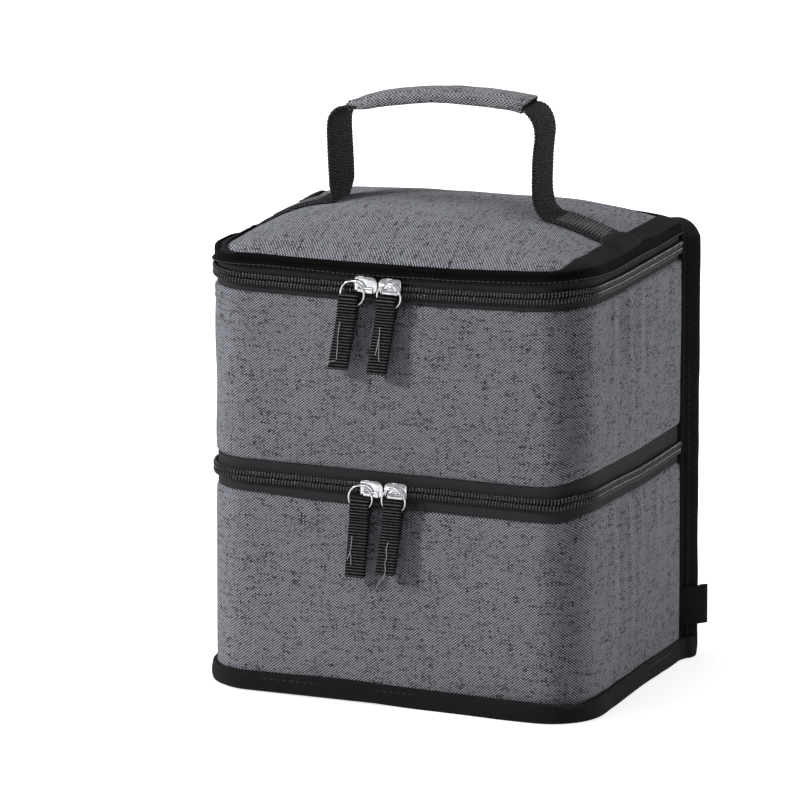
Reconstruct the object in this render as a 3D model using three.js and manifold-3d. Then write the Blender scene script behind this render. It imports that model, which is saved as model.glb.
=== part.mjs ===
// Insulated bag with two stacked compartments, a padded lid and a webbing carrying handle.
// Millimetres, +Z up. The origin is the middle of the underside, the front faces -Y and the folds are at the back.
import * as THREE from "three";
import { mergeVertices } from "three/addons/utils/BufferGeometryUtils.js";
import Module from "manifold-3d";

const wasm = await Module();
wasm.setup();

// Overall shape of the two boxes, seen from above: square back corners and rounded front corners.
const WIDTH = 220;
const DEPTH = 150;
const CORNER_RADIUS = 25;
const CORNER_STEPS = 6;

// Heights, from the floor up.
const LOWER_WALL_HEIGHT = 112;
const MIDDLE_ZIP_OPENING = 18;
const UPPER_WALL_HEIGHT = 96.5;
const LID_ZIP_OPENING = 15;
const LID_BINDING_HEIGHT = 8;
const LID_CROWN = 19.5;
const LID_CROWN_POWER = 2.2;
const LID_EDGE_DROP = 0.87;
const BASE_BOARD = 4;

// The lid's dome is drawn as rings at these shares of its half width, joined by edges no longer than this.
const LID_RING_SHARES = [1, 0.93, 0.82, 0.66, 0.46, 0.24];
const LID_EDGE_LONGEST = 32;

// Thickness of the layers of a panel, and the room between pieces that touch.
const COVER = 1;
const FOAM = 5;
const LINING = 0.6;
const GAP = 0.3;

// Black binding tapes.
const BASE_BINDING_HEIGHT = 12;
const BINDING_THICKNESS = 2.6;
const BINDING_PROUD = 1.6;
const RIM_TAPE = 1.2;
const BACK_BINDING_WIDTH = 10.5;
const BACK_BINDING_TOP_RADIUS = 10;
const MIDDLE_FOLD_MITRE = 1.15;
const LID_FOLD_MITRE_BELOW = 2.05;
const LID_FOLD_MITRE_ABOVE = 1.45;

// Zip: two tapes with a row of coil each, and a parting line that the slider's neck runs in.
const TAPE = 0.8;
const TAPE_RECESS = 0.5;
const COIL_PROUD = 2.2;
const CHAIN_WIDTH = 7.6;
const PARTING = 2;

// Slider, its ring and the webbing pull.
const SLIDER_LENGTH = 13;
const SLIDER_WIDTH = 9.6;
const SLIDER_NOSE = 3.4;
const SLIDER_PLATE = 1.8;
const SLIDER_BACK_PLATE = 1.2;
const SLIDER_BACK_WIDTH = 7.6;
const NECK_LENGTH = 2;
const NECK_HEIGHT = 1.2;
const NECK_INSET = 0.5;
const BRIDGE_WIDTH = 5.2;
const BRIDGE_LEG_WIDTH = 3;
const BRIDGE_THICKNESS = 1.2;
const BRIDGE_CLEAR = 4.2;
const BRIDGE_ROOM_UNDER_RING = 1.5;
const RING_DIAMETER = 14.5;
const RING_WIRE = 1.1;
const RING_RISE = 1;
const RING_STAND_OFF = 1.45;
const RING_STEPS = 30;
const RING_SIDES = 7;
const PULL_WIDTH = 11;
const PULL_WEBBING = 1.1;
const PULL_SLOT = 3;
const PULL_STRAP = 2.6;
const PULL_TAPER = 5.2;
const PULL_PLAY = 0.75;
const PULL_LENGTH = 45;

// Where the four sliders stand along the front, which way each runs to open its zip, and how far its bridge and
// its ring stand to the side of its middle.
const SLIDERS = [
  { name: "lid_zip_left", zip: "lid", x: -11.5, opens: -1, bridgeShift: -2.5, ringShift: -4.5 },
  { name: "lid_zip_right", zip: "lid", x: 3, opens: 1, bridgeShift: 0, ringShift: 0.8 },
  { name: "middle_zip_left", zip: "middle", x: -8, opens: -1, bridgeShift: -2.5, ringShift: -4.5 },
  { name: "middle_zip_right", zip: "middle", x: 6.3, opens: 1, bridgeShift: 0, ringShift: -0.4 },
];

// Carrying handle: a webbing arch with a padded grip, on two strap ends sewn flat to the lid.
const WEBBING_WIDTH = 25;
const WEBBING = 1.6;
const HANDLE_SPREAD = 61;
const HANDLE_TOP = 329;
const HANDLE_SQUARENESS = 5;
const HANDLE_STEPS = 24;
const GRIP_HALF_LENGTH = 56;
const GRIP_WIDTH = 27.6;
const GRIP_THICKNESS = 5;
const GRIP_SEAM = 0.6;
const ANCHOR_END_INSET = 2.5;
const ANCHOR_STEPS = 6;
const FOOT_STEPS = 4;
const FOOT_CUT_DEGREES = 9;

// Pocket on the underside of the lid.
const POCKET_MOUTH_Y = -22;
const POCKET_BINDING_WIDTH = 3;
const POCKET_INSET = 3;

// Blank tab sewn to the right back binding.
const LABEL_LOW = 22;
const LABEL_HEIGHT = 22;
const LABEL_WIDTH = 16.5;
const LABEL = 0.8;

// How far blocks that make up one piece run into each other, and how finely rounded outlines are drawn.
const JOIN = 0.5;
const CURVE_STEPS = 5;

// Places that follow from the sizes above.
const FOAM_AT = COVER + GAP;
const LINING_AT = FOAM_AT + FOAM + GAP;
const WALL = LINING_AT + LINING;
const BACK = DEPTH / 2;
const FRONT = -DEPTH / 2;
const MIDDLE_FOLD = LOWER_WALL_HEIGHT + MIDDLE_ZIP_OPENING / 2;
const UPPER_WALL_BASE = LOWER_WALL_HEIGHT + MIDDLE_ZIP_OPENING;
const UPPER_WALL_TOP = UPPER_WALL_BASE + UPPER_WALL_HEIGHT;
const LID_FOLD = UPPER_WALL_TOP + LID_ZIP_OPENING / 2;
const LID_BASE = UPPER_WALL_TOP + LID_ZIP_OPENING;
const LID_TOP_EDGE = LID_BASE + LID_BINDING_HEIGHT - LID_EDGE_DROP;
const LID_LINING_EDGE = LID_TOP_EDGE - LINING_AT;
const FLOOR_TOP = UPPER_WALL_BASE + LINING + GAP + FOAM;
const BASE_TOP = COVER + GAP + BASE_BOARD;
const TAPE_INNER = TAPE_RECESS + TAPE;

const X = new THREE.Vector3(1, 0, 0);
const Y = new THREE.Vector3(0, 1, 0);
const Z = new THREE.Vector3(0, 0, 1);
const point = (x, y, z) => new THREE.Vector3(x, y, z);

const finishes = {
  melange: { color: 0x7b7c80, roughness: 0.92, metalness: 0 },
  blackTape: { color: 0x1c1c1f, roughness: 0.8, metalness: 0 },
  coil: { color: 0x202022, roughness: 0.35, metalness: 0 },
  foam: { color: 0xd9d9d4, roughness: 0.95, metalness: 0 },
  foil: { color: 0xb9bbbe, roughness: 0.35, metalness: 0.6 },
  chrome: { color: 0xd8d9dc, roughness: 0.15, metalness: 1 },
  webbing: { color: 0x17171a, roughness: 0.75, metalness: 0 },
  grip: { color: 0x6f7074, roughness: 0.9, metalness: 0 },
};

const bag = new THREE.Group();

function add(name, finish, geometry) {
  const mesh = new THREE.Mesh(geometry, new THREE.MeshStandardMaterial(finishes[finish]));
  mesh.name = name;
  bag.add(mesh);
}

// A closed surface from points and triangles, turned so that its faces point out.
function closedGeometry(points, triangles) {
  let volume = 0;
  for (const [a, b, c] of triangles) {
    volume += points[a].dot(new THREE.Vector3().crossVectors(points[b], points[c]));
  }
  const outward = volume < 0 ? triangles.map(([a, b, c]) => [a, c, b]) : triangles;
  const geometry = new THREE.BufferGeometry();
  const coordinates = points.flatMap((p) => p.toArray());
  geometry.setAttribute("position", new THREE.Float32BufferAttribute(coordinates, 3));
  geometry.setIndex(outward.flat());
  geometry.computeVertexNormals();
  return geometry;
}

// A flat section, given as [out, up] pairs, carried along stations that each say where out and up point.
function sweep(stations, section, loop = false) {
  const flat = section.map(([out, up]) => new THREE.Vector2(out, up));
  if (THREE.ShapeUtils.isClockWise(flat)) flat.reverse();
  const count = flat.length;
  const points = stations.flatMap((s) =>
    flat.map((p) => s.at.clone().addScaledVector(s.out, p.x).addScaledVector(s.up, p.y * (s.wide ?? 1))),
  );
  const triangles = [];
  const spans = loop ? stations.length : stations.length - 1;
  for (let i = 0; i < spans; i++) {
    const here = i * count;
    const next = ((i + 1) % stations.length) * count;
    for (let k = 0; k < count; k++) {
      const l = (k + 1) % count;
      triangles.push([here + k, next + k, next + l], [here + k, next + l, here + l]);
    }
  }
  if (!loop) {
    const last = (stations.length - 1) * count;
    for (const [a, b, c] of THREE.ShapeUtils.triangulateShape(flat, [])) {
      triangles.push([a, b, c], [last + c, last + b, last + a]);
    }
  }
  return closedGeometry(points, triangles);
}

function rectangle(outLow, outHigh, upLow, upHigh) {
  return [
    [outLow, upLow],
    [outHigh, upLow],
    [outHigh, upHigh],
    [outLow, upHigh],
  ];
}

// Stations round one front corner of the outer plan; side is -1 on the left and 1 on the right.
function cornerStations(side) {
  const start = side < 0 ? Math.PI : 1.5 * Math.PI;
  const middle = point(side * (WIDTH / 2 - CORNER_RADIUS), FRONT + CORNER_RADIUS, 0);
  return Array.from({ length: CORNER_STEPS + 1 }, (_, i) => {
    const angle = start + (i / CORNER_STEPS) * (Math.PI / 2);
    const out = point(Math.cos(angle), Math.sin(angle), 0);
    return { at: middle.clone().addScaledVector(out, CORNER_RADIUS), out, up: Z };
  });
}

// The outer plan from the left back end, round the front, to the right back end.
function wallStations(end) {
  return [
    { at: point(-WIDTH / 2, end, 0), out: point(-1, 0, 0), up: Z },
    ...cornerStations(-1),
    ...cornerStations(1),
    { at: point(WIDTH / 2, end, 0), out: X, up: Z },
  ];
}

// The whole outer plan as a closed ring, with mitred back corners.
function ringStations() {
  return [
    { at: point(-WIDTH / 2, BACK, 0), out: point(-1, 1, 0), up: Z },
    ...cornerStations(-1),
    ...cornerStations(1),
    { at: point(WIDTH / 2, BACK, 0), out: point(1, 1, 0), up: Z },
  ];
}

// A band of wall: how deep its outer side lies, how thick it is, its height and where it ends at the back.
function band(depth, thickness, low, high, end) {
  return sweep(wallStations(end), rectangle(-depth - thickness, -depth, low, high));
}

function outline(inset) {
  return ringStations().map((s) => [s.at.x - s.out.x * inset, s.at.y - s.out.y * inset]);
}

// A flat panel of the bag's plan.
function slab(inset, low, high) {
  const level = (z) => ({ at: point(0, 0, z), out: X, up: Y });
  return sweep([level(low), level(high)], outline(inset));
}

function block(lowCorner, highCorner) {
  const [x0, y0, z0] = lowCorner;
  const [x1, y1, z1] = highCorner;
  const level = (z) => ({ at: point(0, 0, z), out: X, up: Y });
  return sweep([level(z0), level(z1)], rectangle(x0, x1, y0, y1));
}

// A panel of the back wall.
function backPanel(depth, thickness, side, low, high) {
  return block([-WIDTH / 2 + side, BACK - depth - thickness, low], [WIDTH / 2 - side, BACK - depth, high]);
}

function toSolid(geometry) {
  const plain = geometry.clone();
  plain.deleteAttribute("normal");
  plain.deleteAttribute("uv");
  const merged = mergeVertices(plain, 1e-4);
  const vertProperties = merged.attributes.position.array;
  return new wasm.Manifold(new wasm.Mesh({ numProp: 3, vertProperties, triVerts: merged.index.array }));
}

function toGeometry(solid) {
  const whole = solid.getMesh();
  const geometry = new THREE.BufferGeometry();
  geometry.setAttribute("position", new THREE.Float32BufferAttribute(whole.vertProperties, 3));
  geometry.setIndex(Array.from(whole.triVerts));
  geometry.computeVertexNormals();
  return geometry;
}

function join(geometries) {
  return toGeometry(geometries.map(toSolid).reduce((a, b) => a.add(b)));
}

function cut(geometry, tool) {
  return toGeometry(toSolid(geometry).subtract(toSolid(tool)));
}

// One compartment's wall: outer fabric, foam and lining round the front and sides.
function addWall(prefix, coverLow, foamLow, liningLow, top) {
  add(`${prefix}_wall_cover`, "melange", band(0, COVER, coverLow, top, BACK - COVER - GAP));
  add(`${prefix}_wall_foam`, "foam", band(FOAM_AT, FOAM, foamLow, top, BACK - FOAM_AT - FOAM - GAP));
  add(`${prefix}_wall_lining`, "foil", band(LINING_AT, LINING, liningLow, top, BACK - WALL - GAP));
}

function addBack(prefix, coverLow, coverHigh, foamLow, liningLow, innerHigh) {
  add(`${prefix}_back_cover`, "melange", backPanel(0, COVER, 0, coverLow, coverHigh));
  const besideTape = TAPE_INNER + GAP;
  add(`${prefix}_back_foam`, "foam", backPanel(FOAM_AT, FOAM, besideTape, foamLow, innerHigh));
  add(`${prefix}_back_lining`, "foil", backPanel(LINING_AT, LINING, WALL - LINING, liningLow, innerHigh));
}

function addRim(name, low) {
  add(name, "blackTape", band(FOAM_AT + GAP, WALL - FOAM_AT, low, low + RIM_TAPE, BACK - WALL - GAP));
}

// One side of a zip: its tape from the seam to the parting line, and its row of coil.
function addZipSide(name, seam, fold) {
  const toFold = Math.sign(fold - seam);
  const tapeSeam = seam + toFold * GAP;
  const parting = fold - (toFold * PARTING) / 2;
  const coilSeam = fold - (toFold * CHAIN_WIDTH) / 2;
  const end = BACK - COVER - GAP;
  const tapeLevels = [tapeSeam, parting].sort((a, b) => a - b);
  const coilLevels = [coilSeam, parting].sort((a, b) => a - b);
  add(name.replace("#", "tape"), "blackTape", band(TAPE_RECESS, TAPE, ...tapeLevels, end));
  const coil = rectangle(GAP - TAPE_RECESS, COIL_PROUD, ...coilLevels);
  add(name.replace("#", "coil"), "coil", sweep(wallStations(end), coil));
}

// The bound seam that stands out of a back corner at 45 degrees, as a section with out sideways and up backwards.
function backBindingSection() {
  const tip = BACK_BINDING_WIDTH * Math.SQRT1_2;
  const half = (BINDING_THICKNESS / 2) * Math.SQRT1_2;
  const foot = half + GAP;
  return [
    [GAP, GAP],
    [foot + half, foot - half],
    [tip + half, tip - half],
    [tip - half, tip + half],
    [foot - half, foot + half],
  ];
}

// A straight stretch of back binding, mitred at its ends so that the folds have room to turn.
function backBinding(side, low, high, mitreLow, mitreHigh) {
  const out = point(side, 0, 0);
  const station = (z, lean) => ({ at: point((side * WIDTH) / 2, BACK, z), out, up: point(0, 1, lean) });
  return sweep([station(low + GAP, mitreLow), station(high - GAP, -mitreHigh)], backBindingSection());
}

// The back binding on the lid: up one corner, across the top edge and down the other corner.
function lidBackBinding() {
  const top = LID_BASE + LID_BINDING_HEIGHT;
  const low = { z: LID_FOLD + GAP, up: point(0, 1, LID_FOLD_MITRE_ABOVE) };
  const arc = (side) =>
    Array.from({ length: CORNER_STEPS + 1 }, (_, i) => {
      const turn = (i / CORNER_STEPS) * (Math.PI / 2);
      const angle = side < 0 ? Math.PI - turn : Math.PI / 2 - turn;
      const out = point(Math.cos(angle), 0, Math.sin(angle));
      const middle = point(side * (WIDTH / 2 - BACK_BINDING_TOP_RADIUS), BACK, top - BACK_BINDING_TOP_RADIUS);
      return { at: middle.addScaledVector(out, BACK_BINDING_TOP_RADIUS), out, up: Y };
    });
  const stations = [
    { at: point(-WIDTH / 2, BACK, low.z), out: point(-1, 0, 0), up: low.up },
    ...arc(-1),
    ...arc(1),
    { at: point(WIDTH / 2, BACK, low.z), out: X, up: low.up },
  ];
  return sweep(stations, backBindingSection());
}

function addLowerBox() {
  add("base_cover", "melange", slab(0, 0, COVER));
  add("base_foam", "foam", slab(LINING_AT, COVER + GAP, BASE_TOP));
  add("base_lining", "foil", slab(LINING_AT, BASE_TOP + GAP, BASE_TOP + GAP + LINING));
  const inside = BASE_TOP + LINING + 2 * GAP;
  const top = LOWER_WALL_HEIGHT;
  addWall("lower", COVER + GAP, COVER + GAP, inside, top);
  addBack("lower", COVER + GAP, MIDDLE_FOLD - GAP / 2, COVER + GAP, inside, MIDDLE_FOLD - RIM_TAPE);
  addRim("lower_rim_binding", top + GAP);
  const skirt = rectangle(GAP, BINDING_THICKNESS + GAP, GAP, BASE_BINDING_HEIGHT);
  add("base_binding", "blackTape", sweep(ringStations(), skirt, true));
  addZipSide("middle_zip_#_lower", top, MIDDLE_FOLD);
  for (const [name, side] of Object.entries({ left: -1, right: 1 })) {
    const seam = backBinding(side, BASE_BINDING_HEIGHT, MIDDLE_FOLD, 0, MIDDLE_FOLD_MITRE);
    add(`lower_back_binding_${name}`, "blackTape", seam);
  }
  addLabel();
}

// The tab lies along the outer face of the right back binding and reaches past its edge.
function addLabel() {
  const along = point(1, 1, 0).normalize();
  const off = point(1, -1, 0).normalize();
  const at = (z) => ({ at: point(WIDTH / 2, BACK, z), out: along, up: off });
  const near = BINDING_THICKNESS / 2 + GAP;
  const tab = rectangle(near, LABEL_WIDTH, near, near + LABEL);
  add("side_label", "blackTape", sweep([at(LABEL_LOW), at(LABEL_LOW + LABEL_HEIGHT)], tab));
}

function addUpperBox() {
  const base = UPPER_WALL_BASE;
  const top = UPPER_WALL_TOP;
  add("floor_lining_under", "foil", slab(FOAM_AT, base, base + LINING));
  add("floor_foam", "foam", slab(FOAM_AT, base + LINING + GAP, FLOOR_TOP));
  add("floor_lining_top", "foil", slab(WALL + GAP, FLOOR_TOP + GAP, FLOOR_TOP + GAP + LINING));
  const inside = FLOOR_TOP + GAP;
  addWall("upper", base, inside, inside, top);
  addBack("upper", MIDDLE_FOLD + GAP / 2, LID_FOLD - GAP / 2, inside, inside, LID_FOLD - RIM_TAPE);
  addRim("floor_rim_binding", base - GAP - RIM_TAPE);
  addRim("upper_rim_binding", top + GAP);
  addZipSide("middle_zip_#_upper", base, MIDDLE_FOLD);
  addZipSide("lid_zip_#_lower", top, LID_FOLD);
  for (const [name, side] of Object.entries({ left: -1, right: 1 })) {
    const seam = backBinding(side, MIDDLE_FOLD, LID_FOLD, MIDDLE_FOLD_MITRE, LID_FOLD_MITRE_BELOW);
    add(`upper_back_binding_${name}`, "blackTape", seam);
  }
}

// Height of the lid's outer fabric over its edge, along the middle line from side to side.
function lidRise(x) {
  const share = Math.min(1, Math.abs(x) / (WIDTH / 2 - FOAM_AT));
  return LID_CROWN * (1 - share ** LID_CROWN_POWER);
}

// The lid's outline, with its long straight sides cut into shorter lengths.
function lidOutline(inset) {
  const corners = outline(inset);
  return corners.flatMap(([x, y], i) => {
    const [nextX, nextY] = corners[(i + 1) % corners.length];
    const parts = Math.max(1, Math.ceil(Math.hypot(nextX - x, nextY - y) / LID_EDGE_LONGEST));
    const between = (from, to, k) => from + ((to - from) * k) / parts;
    return Array.from({ length: parts }, (_, k) => [between(x, nextX, k), between(y, nextY, k)]);
  });
}

// One domed layer of the lid. Its rings pass from the bag's outline at the edge to an ellipse in the middle.
function lidLayer(inset, topEdge, thickness) {
  const shares = LID_RING_SHARES;
  const half = { x: WIDTH / 2 - inset, y: DEPTH / 2 - inset };
  const edge = lidOutline(inset);
  const ring = (share, drop) =>
    edge.map(([x, y]) => {
      const toEllipse = 1 / Math.hypot(x / half.x, y / half.y);
      const morph = share * (share ** 2 + (1 - share ** 2) * toEllipse);
      return point(x * morph, y * morph, topEdge + LID_CROWN * (1 - share ** LID_CROWN_POWER) - drop);
    });
  const points = [0, thickness].flatMap((drop) => shares.flatMap((share) => ring(share, drop)));
  const count = edge.length;
  const centre = points.length;
  points.push(point(0, 0, topEdge + LID_CROWN), point(0, 0, topEdge + LID_CROWN - thickness));
  const under = shares.length * count;
  const triangles = [];
  for (let k = 0; k < count; k++) {
    const l = (k + 1) % count;
    for (let i = 0; i + 1 < shares.length; i++) {
      const [a, b, c, d] = [i * count + k, i * count + l, (i + 1) * count + l, (i + 1) * count + k];
      triangles.push([a, b, c], [a, c, d]);
      triangles.push([under + c, under + b, under + a], [under + d, under + c, under + a]);
    }
    const last = (shares.length - 1) * count;
    triangles.push([last + k, last + l, centre], [under + last + l, under + last + k, centre + 1]);
    triangles.push([l, k, under + k], [l, under + k, under + l]);
  }
  return closedGeometry(points, triangles);
}

function addLid() {
  add("lid_cover", "melange", lidLayer(FOAM_AT, LID_TOP_EDGE, COVER));
  add("lid_foam", "foam", lidLayer(FOAM_AT, LID_TOP_EDGE - FOAM_AT, FOAM));
  add("lid_lining", "foil", lidLayer(TAPE_INNER + 2 * GAP, LID_LINING_EDGE, LINING));
  const bindingTop = LID_BASE + LID_BINDING_HEIGHT;
  const flange = rectangle(BINDING_PROUD - BINDING_THICKNESS, BINDING_PROUD, LID_BASE + GAP, bindingTop);
  add("lid_binding", "blackTape", sweep(wallStations(BACK - COVER - 2 * GAP), flange));
  add("lid_back_strip", "melange", backPanel(0, COVER, FOAM_AT, LID_FOLD + GAP / 2, bindingTop));
  add("lid_back_binding", "blackTape", lidBackBinding());
  addZipSide("lid_zip_#_upper", LID_BASE, LID_FOLD);
  addPocket();
  for (const [name, side] of Object.entries({ left: -1, right: 1 })) {
    add(`handle_anchor_${name}`, "webbing", handleAnchor(side));
  }
}

// A foil pocket under the rear of the lid, with a bound mouth towards the front.
function addPocket() {
  const top = LID_LINING_EDGE - LINING - GAP;
  const side = WIDTH / 2 - POCKET_INSET;
  const back = BACK - POCKET_INSET;
  add("lid_pocket", "foil", block([-side, POCKET_MOUTH_Y, top - LINING], [side, back, top]));
  const mouth = POCKET_MOUTH_Y - GAP;
  const low = [-side, mouth - POCKET_BINDING_WIDTH, top - LINING - 2 * GAP];
  add("lid_pocket_binding", "blackTape", block(low, [side, mouth, top]));
}

// A strap end sewn flat on the lid, from under the handle to the side seam.
function handleAnchor(side) {
  const inner = HANDLE_SPREAD - WEBBING;
  const outer = WIDTH / 2 - ANCHOR_END_INSET;
  const stations = Array.from({ length: ANCHOR_STEPS + 1 }, (_, i) => {
    const x = inner + ((outer - inner) * i) / ANCHOR_STEPS;
    const slope = (lidRise(x + 1) - lidRise(x - 1)) / 2;
    const out = point(-side * slope, 0, 1).normalize();
    const at = point(side * x, 0, LID_TOP_EDGE + lidRise(x)).addScaledVector(out, GAP + WEBBING / 2);
    return { at, out, up: Y };
  });
  return sweep(stations, rectangle(-WEBBING / 2, WEBBING / 2, -WEBBING_WIDTH / 2, WEBBING_WIDTH / 2));
}

const HANDLE_PIVOT_Z =
  LID_TOP_EDGE + lidRise(HANDLE_SPREAD - WEBBING) + WEBBING + 3 * GAP + WEBBING_WIDTH / 2;

// The handle's arch from pivot to pivot: straight sides, rounded shoulders and a slightly crowned top.
function archStations() {
  const height = HANDLE_TOP - GRIP_THICKNESS / 2 - HANDLE_PIVOT_Z;
  const power = 2 / HANDLE_SQUARENESS;
  const at = (turn) => {
    const across = Math.cos(turn);
    const x = -HANDLE_SPREAD * Math.sign(across) * Math.abs(across) ** power;
    return point(x, 0, HANDLE_PIVOT_Z + height * Math.abs(Math.sin(turn)) ** power);
  };
  return Array.from({ length: HANDLE_STEPS + 1 }, (_, i) => {
    const turn = (Math.PI * i) / HANDLE_STEPS;
    const step = 0.01;
    const ahead = at(Math.min(Math.PI, turn + step)).sub(at(Math.max(0, turn - step))).normalize();
    return { at: at(turn), out: point(-ahead.z, 0, ahead.x), up: Y };
  });
}

// The strap's foot is a half circle about the pivot, cut short at its lowest point, so that it turns without
// touching the lid.
function footStations(side) {
  const start = THREE.MathUtils.degToRad(FOOT_CUT_DEGREES);
  return Array.from({ length: FOOT_STEPS }, (_, i) => {
    const angle = start + (i / FOOT_STEPS) * (Math.PI / 2 - start);
    const drop = (WEBBING_WIDTH / 2) * Math.cos(angle);
    const at = point(side * HANDLE_SPREAD, 0, HANDLE_PIVOT_Z - drop);
    return { at, out: point(side, 0, 0), up: Y, wide: Math.sin(angle) };
  });
}

function addHandle() {
  const arch = archStations();
  const stations = [...footStations(-1), ...arch, ...footStations(1).reverse()];
  const strap = rectangle(-WEBBING / 2, WEBBING / 2, -WEBBING_WIDTH / 2, WEBBING_WIDTH / 2);
  add("handle_strap", "webbing", sweep(stations, strap));
  const covered = arch.filter((s) => Math.abs(s.at.x) <= GRIP_HALF_LENGTH);
  add("handle_grip", "grip", sweep(covered, gripSection()));
}

// The padded sleeve's section: wrapped round the strap, with its seam underneath.
function gripSection() {
  const t = GRIP_THICKNESS / 2;
  const w = GRIP_WIDTH / 2;
  const inT = WEBBING / 2 + GAP;
  const inW = WEBBING_WIDTH / 2 + GAP;
  const seam = GRIP_SEAM / 2;
  const quarter = [0, 30, 60, 90].map((d) => THREE.MathUtils.degToRad(d));
  const edge = (turn) => [t * Math.sin(turn), w - t + t * Math.cos(turn)];
  const underEdge = quarter.map((q) => edge(q - Math.PI / 2));
  const rightHalf = [[-t, seam], ...underEdge, ...quarter.slice(1).map(edge)];
  const leftHalf = rightHalf.map(([out, up]) => [out, -up]).reverse();
  const inner = [
    [-inT, -seam],
    [-inT, -inW],
    [inT, -inW],
    [inT, inW],
    [-inT, inW],
    [-inT, seam],
  ];
  return [...rightHalf, ...leftHalf, ...inner];
}

// Turns a shape drawn in x and z on the front of the bag into a plate that reaches from one depth to another.
function frontPlate(shape, centre, near, far) {
  const depth = far - near;
  const plate = new THREE.ExtrudeGeometry(shape, { depth, bevelEnabled: false, curveSegments: CURVE_STEPS });
  plate.rotateX(Math.PI / 2);
  return plate.translate(centre.x, FRONT - near, centre.z);
}

function frontBlock(centre, halfX, lowZ, highZ, near, far) {
  const low = [centre.x - halfX, FRONT - far, centre.z + lowZ];
  const high = [centre.x + halfX, FRONT - near, centre.z + highZ];
  return block(low, high);
}

// A slider plate seen from the front: square tail, and a rounded nose that points along x.
function sliderOutline(nose, width) {
  const tail = (-nose * SLIDER_LENGTH) / 2;
  const shoulder = nose * (SLIDER_LENGTH / 2 - SLIDER_NOSE);
  const tip = (nose * SLIDER_LENGTH) / 2;
  const shape = new THREE.Shape();
  shape.moveTo(tail, -width / 2);
  shape.lineTo(shoulder, -width / 2);
  shape.quadraticCurveTo(tip, -width / 2, tip, 0);
  shape.quadraticCurveTo(tip, width / 2, shoulder, width / 2);
  shape.lineTo(tail, width / 2);
  shape.closePath();
  return shape;
}

const SLIDER_FACE = COIL_PROUD + GAP + SLIDER_PLATE;
const RING_MEAN = (RING_DIAMETER - RING_WIRE) / 2;

// Two plates joined by a neck in the parting line, and a bridge that the ring hangs in.
function slider(centre, nose, bridgeShift) {
  const behindTape = -TAPE_INNER - GAP;
  const crownAt = SLIDER_FACE + BRIDGE_CLEAR;
  const legEnd = SLIDER_WIDTH / 2 - BRIDGE_THICKNESS / 2;
  const legHalf = BRIDGE_LEG_WIDTH / 2;
  const lowerLegTop = RING_RISE - RING_WIRE - BRIDGE_ROOM_UNDER_RING;
  const neck = { x: centre.x + nose * (SLIDER_LENGTH / 2 - NECK_INSET - NECK_LENGTH / 2), z: centre.z };
  const bridge = { x: centre.x + bridgeShift, z: centre.z };
  const legNear = SLIDER_FACE - JOIN;
  const legFar = crownAt + JOIN;
  return join([
    frontPlate(sliderOutline(nose, SLIDER_WIDTH), centre, SLIDER_FACE - SLIDER_PLATE, SLIDER_FACE),
    frontPlate(sliderOutline(nose, SLIDER_BACK_WIDTH), centre, behindTape - SLIDER_BACK_PLATE, behindTape),
    frontBlock(neck, NECK_LENGTH / 2, -NECK_HEIGHT / 2, NECK_HEIGHT / 2, behindTape - JOIN, SLIDER_FACE - JOIN),
    frontBlock(bridge, legHalf, legEnd - BRIDGE_THICKNESS, legEnd, legNear, legFar),
    frontBlock(bridge, legHalf, -legEnd, lowerLegTop, legNear, legFar),
    frontBlock(bridge, BRIDGE_WIDTH / 2, -legEnd, legEnd, crownAt, crownAt + BRIDGE_THICKNESS),
  ]);
}

function ring(centre) {
  const hoop = new THREE.TorusGeometry(RING_MEAN, RING_WIRE / 2, RING_SIDES, RING_STEPS);
  return hoop.rotateX(Math.PI / 2).translate(centre.x, centre.y, centre.z);
}

// Extrudes a shape drawn in y and z across the bag, centred on x.
function acrossBag(shape, width, centre) {
  const settings = { depth: width, bevelEnabled: false, curveSegments: CURVE_STEPS };
  const strip = new THREE.ExtrudeGeometry(shape, settings);
  strip.applyMatrix4(new THREE.Matrix4().makeBasis(Y, Z, X));
  return strip.translate(centre.x - width / 2, centre.y, centre.z);
}

// A folded strip of webbing, seen from the side: a loop round the ring above two layers sewn flat. The loop has
// just enough room over the wire where the strip's edges cross the ring.
function pull(centre) {
  const wireAtEdge = -Math.sqrt(RING_MEAN ** 2 - (PULL_WIDTH / 2) ** 2);
  const foldInner = wireAtEdge + RING_WIRE / 2 + PULL_PLAY;
  const slotEnd = -RING_MEAN - RING_WIRE;
  const slotHalf = PULL_SLOT / 2;
  const loopHalf = slotHalf + PULL_WEBBING;
  const strapHalf = PULL_STRAP / 2;
  const top = foldInner + PULL_WEBBING;
  const side = new THREE.Shape();
  side.moveTo(-strapHalf, top - PULL_LENGTH);
  side.lineTo(strapHalf, top - PULL_LENGTH);
  side.lineTo(strapHalf, slotEnd - PULL_TAPER);
  side.lineTo(loopHalf, slotEnd);
  side.lineTo(loopHalf, top - loopHalf / 2);
  side.quadraticCurveTo(loopHalf, top, 0, top);
  side.quadraticCurveTo(-loopHalf, top, -loopHalf, top - loopHalf / 2);
  side.lineTo(-loopHalf, slotEnd);
  side.lineTo(-strapHalf, slotEnd - PULL_TAPER);
  side.closePath();
  const slotLow = [centre.x - PULL_WIDTH, centre.y - slotHalf, centre.z + slotEnd];
  const slotHigh = [centre.x + PULL_WIDTH, centre.y + slotHalf, centre.z + foldInner];
  return cut(acrossBag(side, PULL_WIDTH, centre), block(slotLow, slotHigh));
}

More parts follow.
